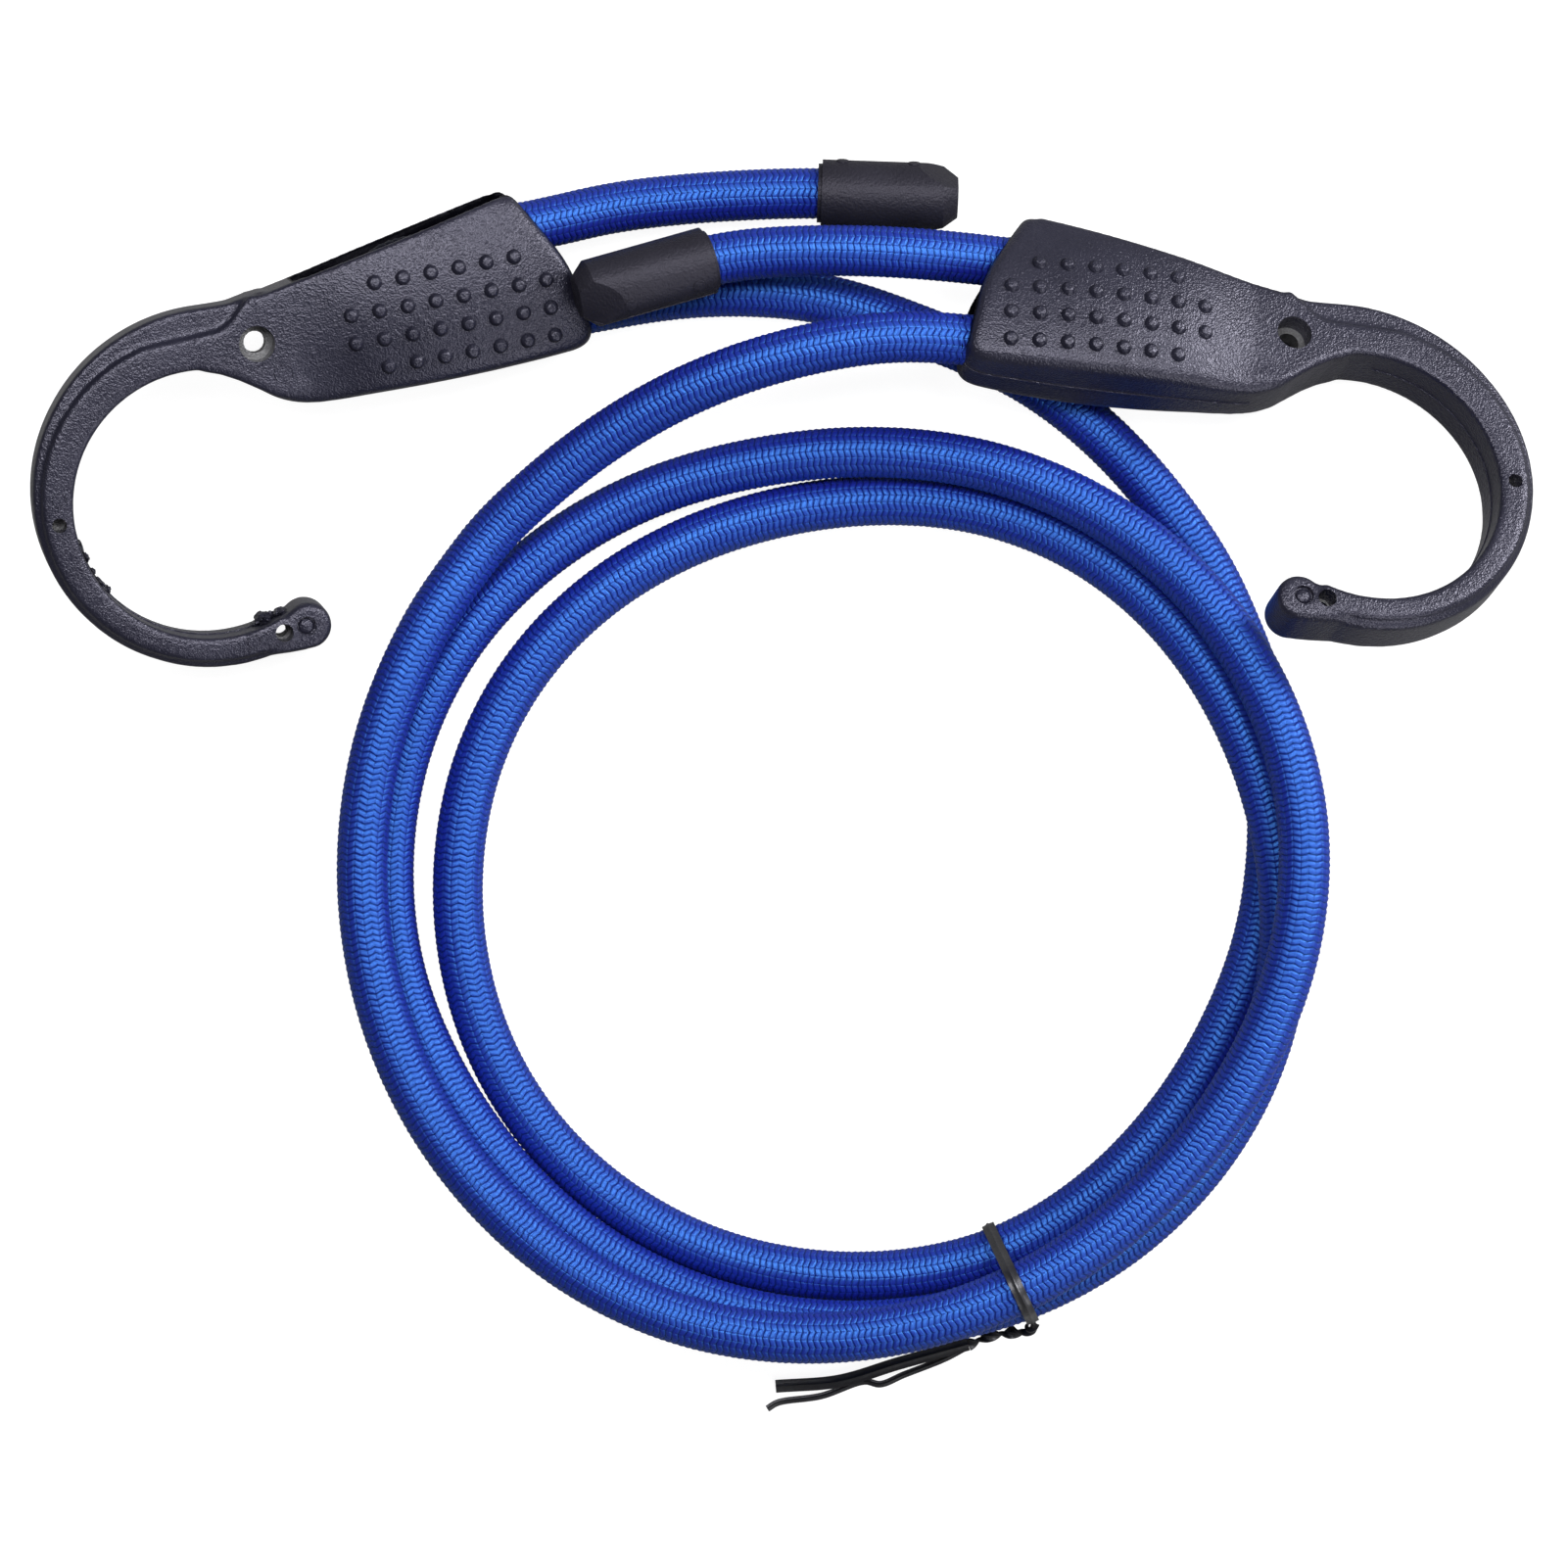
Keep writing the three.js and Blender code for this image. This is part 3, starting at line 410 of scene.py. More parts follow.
def tubeMesh(name, rings, normals, columns, firstRib):
    # rings of vertices, closed at both ends, with column and rib numbers as its UV map
    count, sides = rings.shape[:2]
    mesh = bpy.data.meshes.new(name)
    around = np.arange(sides)
    nextAround = (around + 1) % sides
    base = (np.arange(count - 1) * sides)[:, None]
    quads = [base + around, base + nextAround, base + sides + nextAround, base + sides + around]
    quads = np.stack(quads, axis=2)
    faces = quads.reshape(-1, 4).tolist()
    faces.append(list(reversed(range(sides))))
    faces.append(list(range((count - 1) * sides, count * sides)))
    mesh.from_pydata(rings.reshape(-1, 3).tolist(), [], faces)
    u0 = around / sides * columns
    u1 = (around + 1) / sides * columns
    v0 = ((firstRib + np.arange(count - 1)) / 2)[:, None] + np.zeros(sides)
    us = np.stack(np.broadcast_arrays(u0, u1, u1, u0), axis=-1)
    us = np.broadcast_to(us, (count - 1, sides, 4))
    vs = np.stack([v0, v0, v0 + 0.5, v0 + 0.5], axis=2)
    uv = np.stack([us, vs], axis=3).reshape(-1, 2)
    uv = np.concatenate([uv, np.zeros((2 * sides, 2))])
    layer = mesh.uv_layers.new(name="braid")
    layer.data.foreach_set("uv", uv.astype(np.float32).ravel())
    mesh.polygons.foreach_set("use_smooth", [True] * len(mesh.polygons))
    obj = bpy.data.objects.new(name, mesh)
    scene.collection.objects.link(obj)
    mesh.validate()
    mesh.update()
    mesh.normals_split_custom_set_from_vertices(normals.reshape(-1, 3).tolist())
    return obj


def smoothStep(value, low, high):
    share = np.clip((value - low) / (high - low), 0, 1)
    return share * share * (3 - 2 * share)


def makeCord(s):
    points, marks = cordRoute(s)
    steps = s["routeSteps"]
    fine = catmullRom(points, steps)
    path, lengthAt = evenly(fine, s["ribPitch"] / 2)
    step = lengthAt[-1] / (len(path) - 1)
    keepOut = [lengthAt[i * steps] / step for _, i in marks]
    path = smoothed(path, s["smoothing"] / step, s["easing"], keepOut)
    tangent, normal, side = carriedFrames(path)
    sides = 2 * s["columns"]
    around = np.arange(sides)
    zigzag = np.array([-1, 0, 1, 0])[around % 4] * s["ribTilt"] * s["ribPitch"] / 2
    twist = np.linspace(0, 2 * math.pi * s["turnsOfTwist"], len(path))
    angle = twist[:, None] + 2 * math.pi * around / sides
    number = np.arange(len(path))
    meeting = around % 2 == 0
    rib = np.where(number % 2 == 0, s["crestShare"], -s["dipShare"])[:, None] * s["ribHeight"]
    rib = rib * np.where(meeting, s["meetShare"], 1.0)
    rib = rib - np.where(meeting, s["meetDipShare"], 0) * s["ribHeight"]
    chance = np.random.default_rng(s["seed"])
    rib = rib + chance.uniform(-s["unevenness"], s["unevenness"], (len(path), sides))
    radius = s["diameter"] / 2 + rib
    # each rib waves a little differently from the next
    wave = zigzag[None, :] * (1 + s["tiltChange"] * np.sin(number * s["tiltPace"])[:, None])
    wave = wave + chance.uniform(-s["tiltChance"], s["tiltChance"], (len(path), sides))
    rings = path[:, None, :] + tangent[:, None, :] * wave[:, :, None]
    rings = rings + normal[:, None, :] * (radius * np.cos(angle))[:, :, None]
    rings = rings + side[:, None, :] * (radius * np.sin(angle))[:, :, None]
    rings *= mm
    # normals of the whole cord, so that no seam shows where one piece of it meets the next
    normals = np.cross(np.roll(rings, -1, axis=1) - np.roll(rings, 1, axis=1), np.gradient(rings, axis=0))
    normals /= np.linalg.norm(normals, axis=2)[:, :, None]
    cuts = [(name, int(round(lengthAt[index * steps] / step))) for name, index in marks]
    pieces = {}
    for (name, start), (_, end) in zip(cuts, cuts[1:]):
        end = min(end, len(path) - 1)
        piece = tubeMesh(name + "_braid", rings[start:end + 1], normals[start:end + 1], s["columns"], start)
        length = (end - start) * step * mm
        pieces[name] = {"object": piece, "path": path[start:end + 1] * mm, "length": length}
        if name.endswith("turn"):
            # painted shade where the cord lies deep in a grip
            at = np.arange(end + 1 - start)
            shade = smoothStep(np.minimum(at, end - start - at) * step, *s["paintedShadeFrom"])
            layer = piece.data.attributes.new("inside", "FLOAT", "POINT")
            layer.data.foreach_set("value", np.repeat(shade, sides).astype(np.float32))
        print("cord piece", name, round(length / mm, 1), "mm", len(piece.data.polygons) * 2, "triangles")
    return pieces


cordPieces = makeCord(cordSettings)
print("cord made")


# helpers for the materials
def mathNode(tree, operation, a, b=None, c=None):
    node = addNode(tree, "ShaderNodeMath", operation=operation)
    for socket, value in zip(node.inputs, (a, b, c)):
        if value is None:
            continue
        if isinstance(value, (int, float)):
            socket.default_value = value
        else:
            tree.links.new(value, socket)
    return node.outputs[0]


def rampNode(tree, value, stops):
    node = addNode(tree, "ShaderNodeValToRGB")
    ramp = node.color_ramp
    while len(ramp.elements) < len(stops):
        ramp.elements.new(0.5)
    for element, (at, colour) in zip(ramp.elements, stops):
        element.position = at
        element.color = colour
    tree.links.new(value, node.inputs[0])
    return node.outputs[0]


def noiseNode(tree, place, scale, detail):
    node = addNode(tree, "ShaderNodeTexNoise")
    node.inputs["Scale"].default_value = scale
    node.inputs["Detail"].default_value = detail
    tree.links.new(place, node.inputs["Vector"])
    return node.outputs["Fac"]


def bumpNode(tree, height, distance, strength=1.0, normal=None):
    node = addNode(tree, "ShaderNodeBump")
    node.inputs["Distance"].default_value = distance
    node.inputs["Strength"].default_value = strength
    tree.links.new(height, node.inputs["Height"])
    if normal is not None:
        tree.links.new(normal, node.inputs["Normal"])
    return node.outputs[0]


def paintShadeInside(tree, shader, colour, dark, specular, paintedShadeSpecular=0.02):
    # painted shade: where the attribute "inside" is set, the surface is taken to the dark shade colour and
    # loses its shine
    inside = addNode(tree, "ShaderNodeAttribute", attribute_name="inside").outputs["Fac"]
    mix = addNode(tree, "ShaderNodeMix", data_type="RGBA")
    tree.links.new(inside, mix.inputs[0])
    tree.links.new(colour, mix.inputs[6])
    mix.inputs[7].default_value = dark
    tree.links.new(mix.outputs[2], shader.inputs["Base Color"])
    shine = rangeNode(tree, inside, specular, paintedShadeSpecular)
    tree.links.new(shine.outputs[0], shader.inputs["Specular IOR Level"])


braidSettings = {
    # deep is painted shade in the dips between ribs, body the yarn's own blue, and the crest colour a painted
    # lighter tone
    "deep": (0.002, 0.001, 0.04, 1),
    "body": (0.005, 0.0035, 0.15, 1),
    "paintedCrestLight": (0.007, 0.006, 0.2, 1),
    # painted shade colour for the cord deep inside a grip
    "inside": (0.0005, 0.0005, 0.004, 1),
    "roughness": 0.46,
    "index": 2.45,
    "sheenColour": (0.1, 0.4, 1, 1),
    "threads": 9.0,
    "threadLength": 1.3,
    "threadDepth": 0.00007,
    "ribDepth": 0.0002,
    "ribPower": 3.2,
    "divePower": 6,
    "diveDepth": 0.3,
    "patchScale": 0.35,
    # how much of the tone comes from the ribs, the threads and slow patches; the ribs' share is painted shade
    # in the dips and a painted lighter tone on the crests
    "toneShares": (0.62, 0.3, 0.12),
    "toneStops": (0.15, 0.5, 0.95),
}


def makeBraid(s):
    # u counts the columns of ribs round the cord and v counts the ribs along it
    material, tree, shader = newMaterial("elasticBraid", s["body"], s["roughness"], 0.5)
    shader.inputs["IOR"].default_value = s["index"]
    shader.inputs["Specular Tint"].default_value = s["sheenColour"]
    uvMap = addNode(tree, "ShaderNodeUVMap", uv_map="braid")
    split = addNode(tree, "ShaderNodeSeparateXYZ")
    tree.links.new(uvMap.outputs[0], split.inputs[0])
    column, rib = split.outputs[0], split.outputs[1]
    # how far across its column and across its rib a point lies, 0 in the middle and 1 at the edge
    acrossColumn = mathNode(tree, "PINGPONG", mathNode(tree, "ADD", column, 0.5), 0.5)
    acrossColumn = mathNode(tree, "MULTIPLY", acrossColumn, 2)
    acrossRib = mathNode(tree, "MULTIPLY", mathNode(tree, "PINGPONG", rib, 0.5), 2)
    ribRound = mathNode(tree, "SUBTRACT", 1, mathNode(tree, "POWER", acrossRib, s["ribPower"]))
    # each rib dives under its neighbour where one column meets the next
    dive = mathNode(tree, "POWER", acrossColumn, s["divePower"])
    ribHeight = mathNode(tree, "SUBTRACT", ribRound, mathNode(tree, "MULTIPLY", dive, s["diveDepth"]))
    # threads that run along each rib
    stretch = addNode(tree, "ShaderNodeCombineXYZ")
    tree.links.new(mathNode(tree, "MULTIPLY", column, s["threadLength"]), stretch.inputs[0])
    tree.links.new(mathNode(tree, "MULTIPLY", rib, s["threads"]), stretch.inputs[1])
    threads = noiseNode(tree, stretch.outputs[0], 1.0, 2)
    patches = noiseNode(tree, uvMap.outputs[0], s["patchScale"], 3)
    ribShare, threadShare, patchShare = s["toneShares"]
    shadeAndTone = mathNode(tree, "ADD", mathNode(tree, "MULTIPLY", ribHeight, ribShare),
                    mathNode(tree, "MULTIPLY", threads, threadShare))
    shadeAndTone = mathNode(tree, "ADD", shadeAndTone, mathNode(tree, "MULTIPLY", patches, patchShare))
    # the ramp paints shade into the dips and under the diving ribs, and a lighter tone on the crests
    colour = rampNode(tree, shadeAndTone, list(zip(s["toneStops"], (s["deep"], s["body"], s["paintedCrestLight"]))))
    # painted shade on the cord deep inside a grip, from the attribute "inside"
    paintShadeInside(tree, shader, colour, s["inside"], 0.5)
    normal = bumpNode(tree, ribHeight, s["ribDepth"])
    normal = bumpNode(tree, threads, s["threadDepth"], 1.0, normal)
    tree.links.new(normal, shader.inputs["Normal"])
    return material


braid = makeBraid(braidSettings)


def dressCord(pieces):
    for name, piece in pieces.items():
        obj = piece["object"]
        obj.data.materials.append(braid)
        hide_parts(name)


def blendCord(name):
    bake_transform(cordPieces[name]["object"])


def blendTail(hand):
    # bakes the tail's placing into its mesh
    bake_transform(cordPieces[hand + "_tail"]["object"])


dressCord(cordPieces)
blendCord("left_leg")
blendCord("right_leg")
blendTail("left")
blendTail("right")
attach(cordPieces["cord_coil"]["object"], "coil")
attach(cordPieces["left_cord_turn"]["object"], "left_hook")
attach(cordPieces["right_cord_turn"]["object"], "right_hook")


# hooks: u runs from the neck hole to the open end, v to the slot side, w through the thickness, all in mm
hookSettings = {
    "reach": 59.0,
    "width": 31.0,
    "thickness": 18.4,
    "edge": 1.8,
    "wall": 2.3,
    "lip": 1.3,
    "lipDepth": 2.8,
    "crownCentre": (35.0, 1.5),
    "crownSpan": 22.0,
    "crownRise": 10.0,
    "endDrop": 1.75,
    "sideDrop": 1.0,
    "dropLimit": 1.6,
    # round the grip, in shares of its reach and width
    "outline": [
        (-0.02, 0.245), (0.10, 0.29), (0.27, 0.357), (0.45, 0.429), (0.63, 0.503), (0.78, 0.565),
        (0.808, 0.575), (0.828, 0.56), (0.845, 0.515), (0.89, 0.37), (0.934, 0.225), (0.966, 0.08),
        (0.985, -0.09), (0.999, -0.235), (0.999, -0.285), (0.985, -0.335), (0.955, -0.365), (0.91, -0.376),
        (0.72, -0.395), (0.52, -0.404), (0.32, -0.404), (0.18, -0.4), (0.117, -0.386), (0.07, -0.36),
        (0.028, -0.32), (-0.02, -0.252),
    ],
    "outlineSteps": 4,
    # the outline's points on the side opposite the slot
    "floor": slice(14, 23),
    "cavityStart": 12.0,
    "cavityCorner": (1, 2),
    "cavityPast": 10,
    "slotStart": 8.0,
    "lipStart": 9.0,
    "leanFrom": 10.85,
    # heights through the thickness between which the crown grows from nothing to full
    "crownFrom": (4.5, 6.8),
    "postReach": 28.5,
    "postSide": 1.54,
    "postRadius": 2.4,
    "ringCentre": (-13.3, -26.3),
    "ringInside": 23.7,
    "ringFrom": 84.0,
    "ringTo": 293.0,
    "ringSteps": 96,
    "bandWidth": 5.0,
    "bandThickness": 11.4,
    "bandFrom": 0.08,
    "band": [1.22, 1.2, 1.17, 1.12, 1.03, 0.93, 0.84, 0.82, 0.9],
    "bandRoot": [
        (-0.105, 0.11), (-0.064, 0.151), (-0.025, 0.225), (0.004, 0.275), (0.2, 0.2), (0.2, -0.26),
        (0.117, -0.335), (0.07, -0.34), (0.028, -0.313), (-0.0125, -0.263), (-0.07, -0.189), (-0.12, -0.137),
        (-0.165, -0.106),
    ],
    "flangeWidth": 2.4,
    "flangeThickness": 8.7,
    "flange": [1.9, 1.4, 0.95, 0.66, 0.48, 0.44, 0.48, 0.56, 0.5],
    "flangeRoot": [(0.055, 0.1), (0.055, 0.2855), (-0.0114, 0.267), (-0.059, 0.249), (-0.11, 0.25)],
    "ringEdge": 0.6,
    "headDegrees": 298.4,
    "headPast": 4.3,
    "headRadius": 4.15,
    "headThickness": 10.4,
    "headEdge": 1.3,
    "bridge": [
        (279, 0.1), (287, 0.0), (293, 0.1), (298, 0.4), (298, 8.2), (293, 7.6), (287, 6.4), (279, 5.2),
    ],
    # the sharper rim: from and to along u, its lowest v, its depth and its rounding
    "rim": (0.4, 46.8, 6.85, 4.0, 0.4),
    # moulding flash: degrees round the ring, how far past its inner edge, sizes round, across and through
    "flash": [
        (189, 0.1, 1.5, 0.7, 2.6), (194, 0.0, 1.0, 0.9, 3.2), (201, 0.0, 0.8, 0.7, 2.4),
        (207, 0.1, 1.7, 0.8, 3.0), (211, 0.0, 0.9, 1.0, 2.2), (281, 0.1, 0.9, 0.8, 2.6),
        (284.5, -0.5, 1.5, 1.3, 3.0), (287.5, -0.2, 1.1, 1.1, 2.0), (292, -0.1, 1.4, 0.8, 2.6),
    ],
    "flashUneven": (0.7, 1.15),
    "flashShift": 0.8,
    "neckTaper": (-4.0, 21.0),
    "neckHole": 3.15,
    "holePast": 2.7,
    "drillLength": 40,
    "tipHole": (289.5, 1.6),
    "pinHole": (177.0, 1.3),
    "dimple": (297.7, 4.0, 1.75, 0.8),
    "dome": (1.42, 0.75),
    "voxel": 0.36,
    "smoothing": 14,
    "kept": 0.68,
    "dotRows": [(1, 6), (0, 7), (0, 7), (0, 6)],
    "dotStart": (51.9, 7.1),
    "dotPitch": 5.0,
    "dotRadius": 1.42,
    "dotTop": 0.78,
    "dotHeight": 0.9,
    "dotSunk": 0.6,
    "dotEdge": 0.14,
    "marks": [(3.7, -5.9, 1.6), (-38.8, -20.5, 1.2), (-10.0, -51.6, 1.15)],
    "markRidge": 0.13,
    # the parting line stands out by seam and starts seamSunk inside the wall
    "seam": 0.2,
    "seamSunk": 0.9,
    "seamThickness": 0.4,
    "seamInset": (12, 3),
    "seamSteps": 90,
    # the painted shade inside starts a little within the cavity's wall and just under the lips
    "paintedShadeShare": 0.97,
    "paintedShadeUnder": (0.5, 0.1),
}


def deselect():
    if bpy.context.object and bpy.context.object.mode != "OBJECT":
        bpy.ops.object.mode_set(mode="OBJECT")
    bpy.ops.object.select_all(action="DESELECT")


def selectOnly(obj):
    deselect()
    obj.select_set(True)
    bpy.context.view_layer.objects.active = obj


def applyModifier(obj, kind, **values):
    modifier = obj.modifiers.new(kind.lower(), kind)
    for key, value in values.items():
        setattr(modifier, key, value)
    bpy.context.view_layer.objects.active = obj
    bpy.ops.object.modifier_apply(modifier=modifier.name)


def roundRims(obj, width, segments, degrees):
    applyModifier(obj, "BEVEL", width=width * mm, segments=segments, limit_method="ANGLE",
                  angle_limit=math.radians(degrees))


def addPlate(points, thickness, edge=0.0, segments=3):
    # a filled outline, extruded, with its rims rounded
    deselect()
    bpy.ops.mesh.primitive_circle_add(vertices=len(points), radius=mm, fill_type="NGON")
    obj = bpy.context.object
    for vertex, (u, v) in zip(obj.data.vertices, points):
        vertex.co = (u * mm, v * mm, -thickness / 2 * mm)
    bpy.ops.object.mode_set(mode="EDIT")
    bpy.ops.mesh.select_all(action="SELECT")
    bpy.ops.mesh.extrude_region_move(TRANSFORM_OT_translate={"value": (0, 0, thickness * mm)})
    bpy.ops.mesh.select_all(action="SELECT")
    bpy.ops.mesh.normals_make_consistent(inside=False)
    bpy.ops.object.mode_set(mode="OBJECT")
    if edge:
        roundRims(obj, edge, segments, 60)
    return obj


def addRod(radius, length, place, vertices=32, edge=0.0):
    # a round rod along w
    deselect()
    bpy.ops.mesh.primitive_cylinder_add(vertices=vertices, radius=radius * mm, depth=length * mm,
                                        location=Vector(place) * mm)
    obj = bpy.context.object
    bpy.ops.object.transform_apply(location=True, rotation=True, scale=True)
    if edge:
        roundRims(obj, edge, 3, 60)
    return obj


def addBox(size, place):
    deselect()
    bpy.ops.mesh.primitive_cube_add(size=mm)
    obj = bpy.context.object
    obj.data.transform(Matrix.Translation(Vector(place) * mm) @ Matrix.Diagonal((*size, 1)))
    return obj


def addBall(size, place):
    # a flattened ball: radius and height
    deselect()
    bpy.ops.mesh.primitive_uv_sphere_add(segments=24, ring_count=12, radius=mm)
    obj = bpy.context.object
    shape = Matrix.Diagonal((size[0], size[0], size[1], 1))
    obj.data.transform(Matrix.Translation(Vector(place) * mm) @ shape)
    return obj


def joinPieces(first, others, name):
    deselect()
    for obj in [first] + others:
        obj.select_set(True)
    bpy.context.view_layer.objects.active = first
    bpy.ops.object.join()
    first.name = name
    first.data.name = name
    return first


def cutWith(obj, cutters):
    for cutter in cutters:
        applyModifier(obj, "BOOLEAN", operation="DIFFERENCE", solver="EXACT", object=cutter)
        bpy.data.objects.remove(cutter)


def ringPlace(s, degrees, past):
    turn = math.radians(degrees)
    radius = s["ringInside"] + past
    return (s["ringCentre"][0] + radius * math.cos(turn), s["ringCentre"][1] + radius * math.sin(turn))


def fromShares(s, table):
    return [(a * s["reach"], b * s["width"]) for a, b in table]


def ringSpread(s):
    # degrees along the ring, each with its share of the way
    shares = np.linspace(0, 1, s["ringSteps"] + 1)
    return list(zip(s["ringFrom"] + (s["ringTo"] - s["ringFrom"]) * shares, shares))


def bandOutline(s):
    # inner edge from neck to tip, outer edge back again, then the root inside the grip
    spread = ringSpread(s)
    points = [ringPlace(s, d, 0) for d, share in spread]
    points += [ringPlace(s, d, bandWide(s, share)) for d, share in reversed(spread) if share >= s["bandFrom"]]
    return points + fromShares(s, s["bandRoot"])


def flangeOutline(s):
    # outer edge from neck to tip, back again within the band, then the root
    spread = ringSpread(s)
    points = []
    for d, share in spread:
        past = bandWide(s, share) + s["flangeWidth"] * shareAt(s["flange"], share)
        points.append(ringPlace(s, d, past))
    points += [ringPlace(s, d, s["bandWidth"] / 2) for d, share in reversed(spread)]
    return points + fromShares(s, s["flangeRoot"])


def shareAt(table, share):
    return float(np.interp(share * (len(table) - 1), range(len(table)), table))


def bandWide(s, share):
    return s["bandWidth"] * shareAt(s["band"], share)


def crownDrop(s, u, v):
    along = (u - s["crownCentre"][0]) / s["crownSpan"]
    aside = (v - s["crownCentre"][1]) / s["crownRise"]
    return s["endDrop"] * np.minimum(along ** 2, s["dropLimit"]) + s["sideDrop"] * aside ** 2


def cavityOutline(s):
    lower = [(u, v + s["wall"]) for u, v in fromShares(s, s["outline"][s["floor"]])][::-1]
    cornerU, cornerV = s["cavityCorner"]
    lower = [point for point in lower if point[0] > s["cavityStart"] + cornerU]
    far = s["reach"] + s["cavityPast"]
    start = [
        (s["slotStart"], s["width"]), (s["slotStart"], s["leanFrom"]),
        (s["cavityStart"], s["crownCentre"][1]), (s["cavityStart"], lower[0][1] + cornerV),
    ]
    return start + lower + [(far, lower[-1][1]), (far, s["width"])]


def placesOf(obj):
    places = np.empty(len(obj.data.vertices) * 3, np.float32)
    obj.data.vertices.foreach_get("co", places)
    return places.reshape(-1, 3).astype(float)


def setPlaces(obj, places):
    obj.data.vertices.foreach_set("co", places.astype(np.float32).ravel())
    obj.data.update()


def makeHookShell(s):
    outline = catmullRom(fromShares(s, s["outline"]), s["outlineSteps"])
    grip = addPlate([tuple(point) for point in outline], s["thickness"], s["edge"], 4)
    # the rim on the slot side is sharper than the other edges
    first, last, lowest, depth, edge = s["rim"]
    upper = [tuple(point) for point in outline if first <= point[0] <= last and point[1] > lowest]
    rim = addPlate(upper + [(u, v - depth) for u, v in reversed(upper)], s["thickness"], edge)
    grip = joinPieces(grip, [rim], "hookShell")
    applyModifier(grip, "REMESH", mode="VOXEL", voxel_size=s["voxel"] * mm)
    # the cavity, which opens wider at the lips of the slot
    lips = [(u, v - s["lipDepth"]) for u, v in upper if u > s["lipStart"]]
    lips += [(lips[-1][0], s["width"]), (lips[0][0], s["width"])]
    cutWith(grip, [addPlate(cavityOutline(s), s["thickness"] - 2 * s["wall"]),
                   addPlate(lips, s["thickness"] - 2 * s["lip"])])
    # crown of the two side faces, which come down to the ring's thickness at the neck
    places = placesOf(grip) / mm
    drop = crownDrop(s, places[:, 0], places[:, 1])
    left = s["thickness"] / 2 - drop - s["bandThickness"] / 2
    drop += left * (1 - smoothStep(places[:, 0], *s["neckTaper"]))
    places[:, 2] -= np.sign(places[:, 2]) * drop * smoothStep(np.abs(places[:, 2]), *s["crownFrom"])
    setPlaces(grip, places * mm)
    post = addRod(s["postRadius"], s["thickness"] - s["wall"], (s["postReach"], s["postSide"], 0))
    band = addPlate(bandOutline(s), s["bandThickness"], s["ringEdge"])
    flange = addPlate(flangeOutline(s), s["flangeThickness"], s["ringEdge"])
    u, v = ringPlace(s, s["headDegrees"], s["headPast"])
    head = addRod(s["headRadius"], s["headThickness"], (u, v, 0), 48, s["headEdge"])
    bridge = [ringPlace(s, d, past) for d, past in s["bridge"]]
    bridge = addPlate(bridge, s["headThickness"], s["headEdge"])
    shell = joinPieces(grip, [post, band, flange, head, bridge], "hookShell")
    applyModifier(shell, "REMESH", mode="VOXEL", voxel_size=s["voxel"] * mm)
    applyModifier(shell, "SMOOTH", factor=0.5, iterations=s["smoothing"])
    applyModifier(shell, "DECIMATE", ratio=s["kept"])
    cutters = [addRod(s["neckHole"], s["drillLength"], (0, 0, 0), 48)]
    for degrees, radius in (s["tipHole"], s["pinHole"]):
        u, v = ringPlace(s, degrees, s["holePast"])
        cutters.append(addRod(radius, s["drillLength"], (u, v, 0), 24))
    degrees, past, radius, depth = s["dimple"]
    u, v = ringPlace(s, degrees, past)
    for side in (1, -1):
        cutters.append(addRod(radius, 2 * depth, (u, v, side * s["headThickness"] / 2), 24))
    cutWith(shell, cutters)
    domes = [addBall(s["dome"], (u, v, side * (s["headThickness"] / 2 - depth))) for side in (1, -1)]
    return joinPieces(shell, domes, "hookShell")


def addPeg(radius, top, height, sunk, edge):
    # a peg with sloping sides, sunk a little below its place
    deselect()
    bpy.ops.mesh.primitive_cylinder_add(vertices=24, radius=radius * mm, depth=sunk * mm)
    peg = bpy.context.object
    peg.data.transform(Matrix.Translation((0, 0, -sunk / 2 * mm)))
    deselect()
    bpy.ops.mesh.primitive_cone_add(vertices=24, radius1=radius * mm, radius2=top * mm, depth=height * mm)
    tip = bpy.context.object
    tip.data.transform(Matrix.Translation((0, 0, height / 2 * mm)))
    roundRims(tip, edge, 2, 30)
    return joinPieces(peg, [tip], "peg")


def addRing(radius, ridge):
    # a thin round ridge, half sunk
    deselect()
    bpy.ops.mesh.primitive_torus_add(major_segments=32, minor_segments=8, major_radius=radius * mm,
                                     minor_radius=ridge * mm)
    return bpy.context.object


def addSeam(s, shell):
    # the parting line of the mould, at mid thickness inside the ring and under the grip
    first, last = s["seamInset"]
    degrees = np.linspace(s["ringFrom"] + first, s["ringTo"] - last, s["seamSteps"])
    points = [ringPlace(s, d, -s["seam"]) for d in degrees]
    points += [ringPlace(s, d, s["seamSunk"]) for d in reversed(degrees)]
    under = fromShares(s, s["outline"][s["floor"]])
    under = [tuple(point) for point in catmullRom(under, s["outlineSteps"])]
    line = [(u, v - s["seam"]) for u, v in under] + [(u, v + s["seamSunk"]) for u, v in reversed(under)]
    return joinPieces(shell, [addPlate(path, s["seamThickness"]) for path in (points, line)], "hookShell")


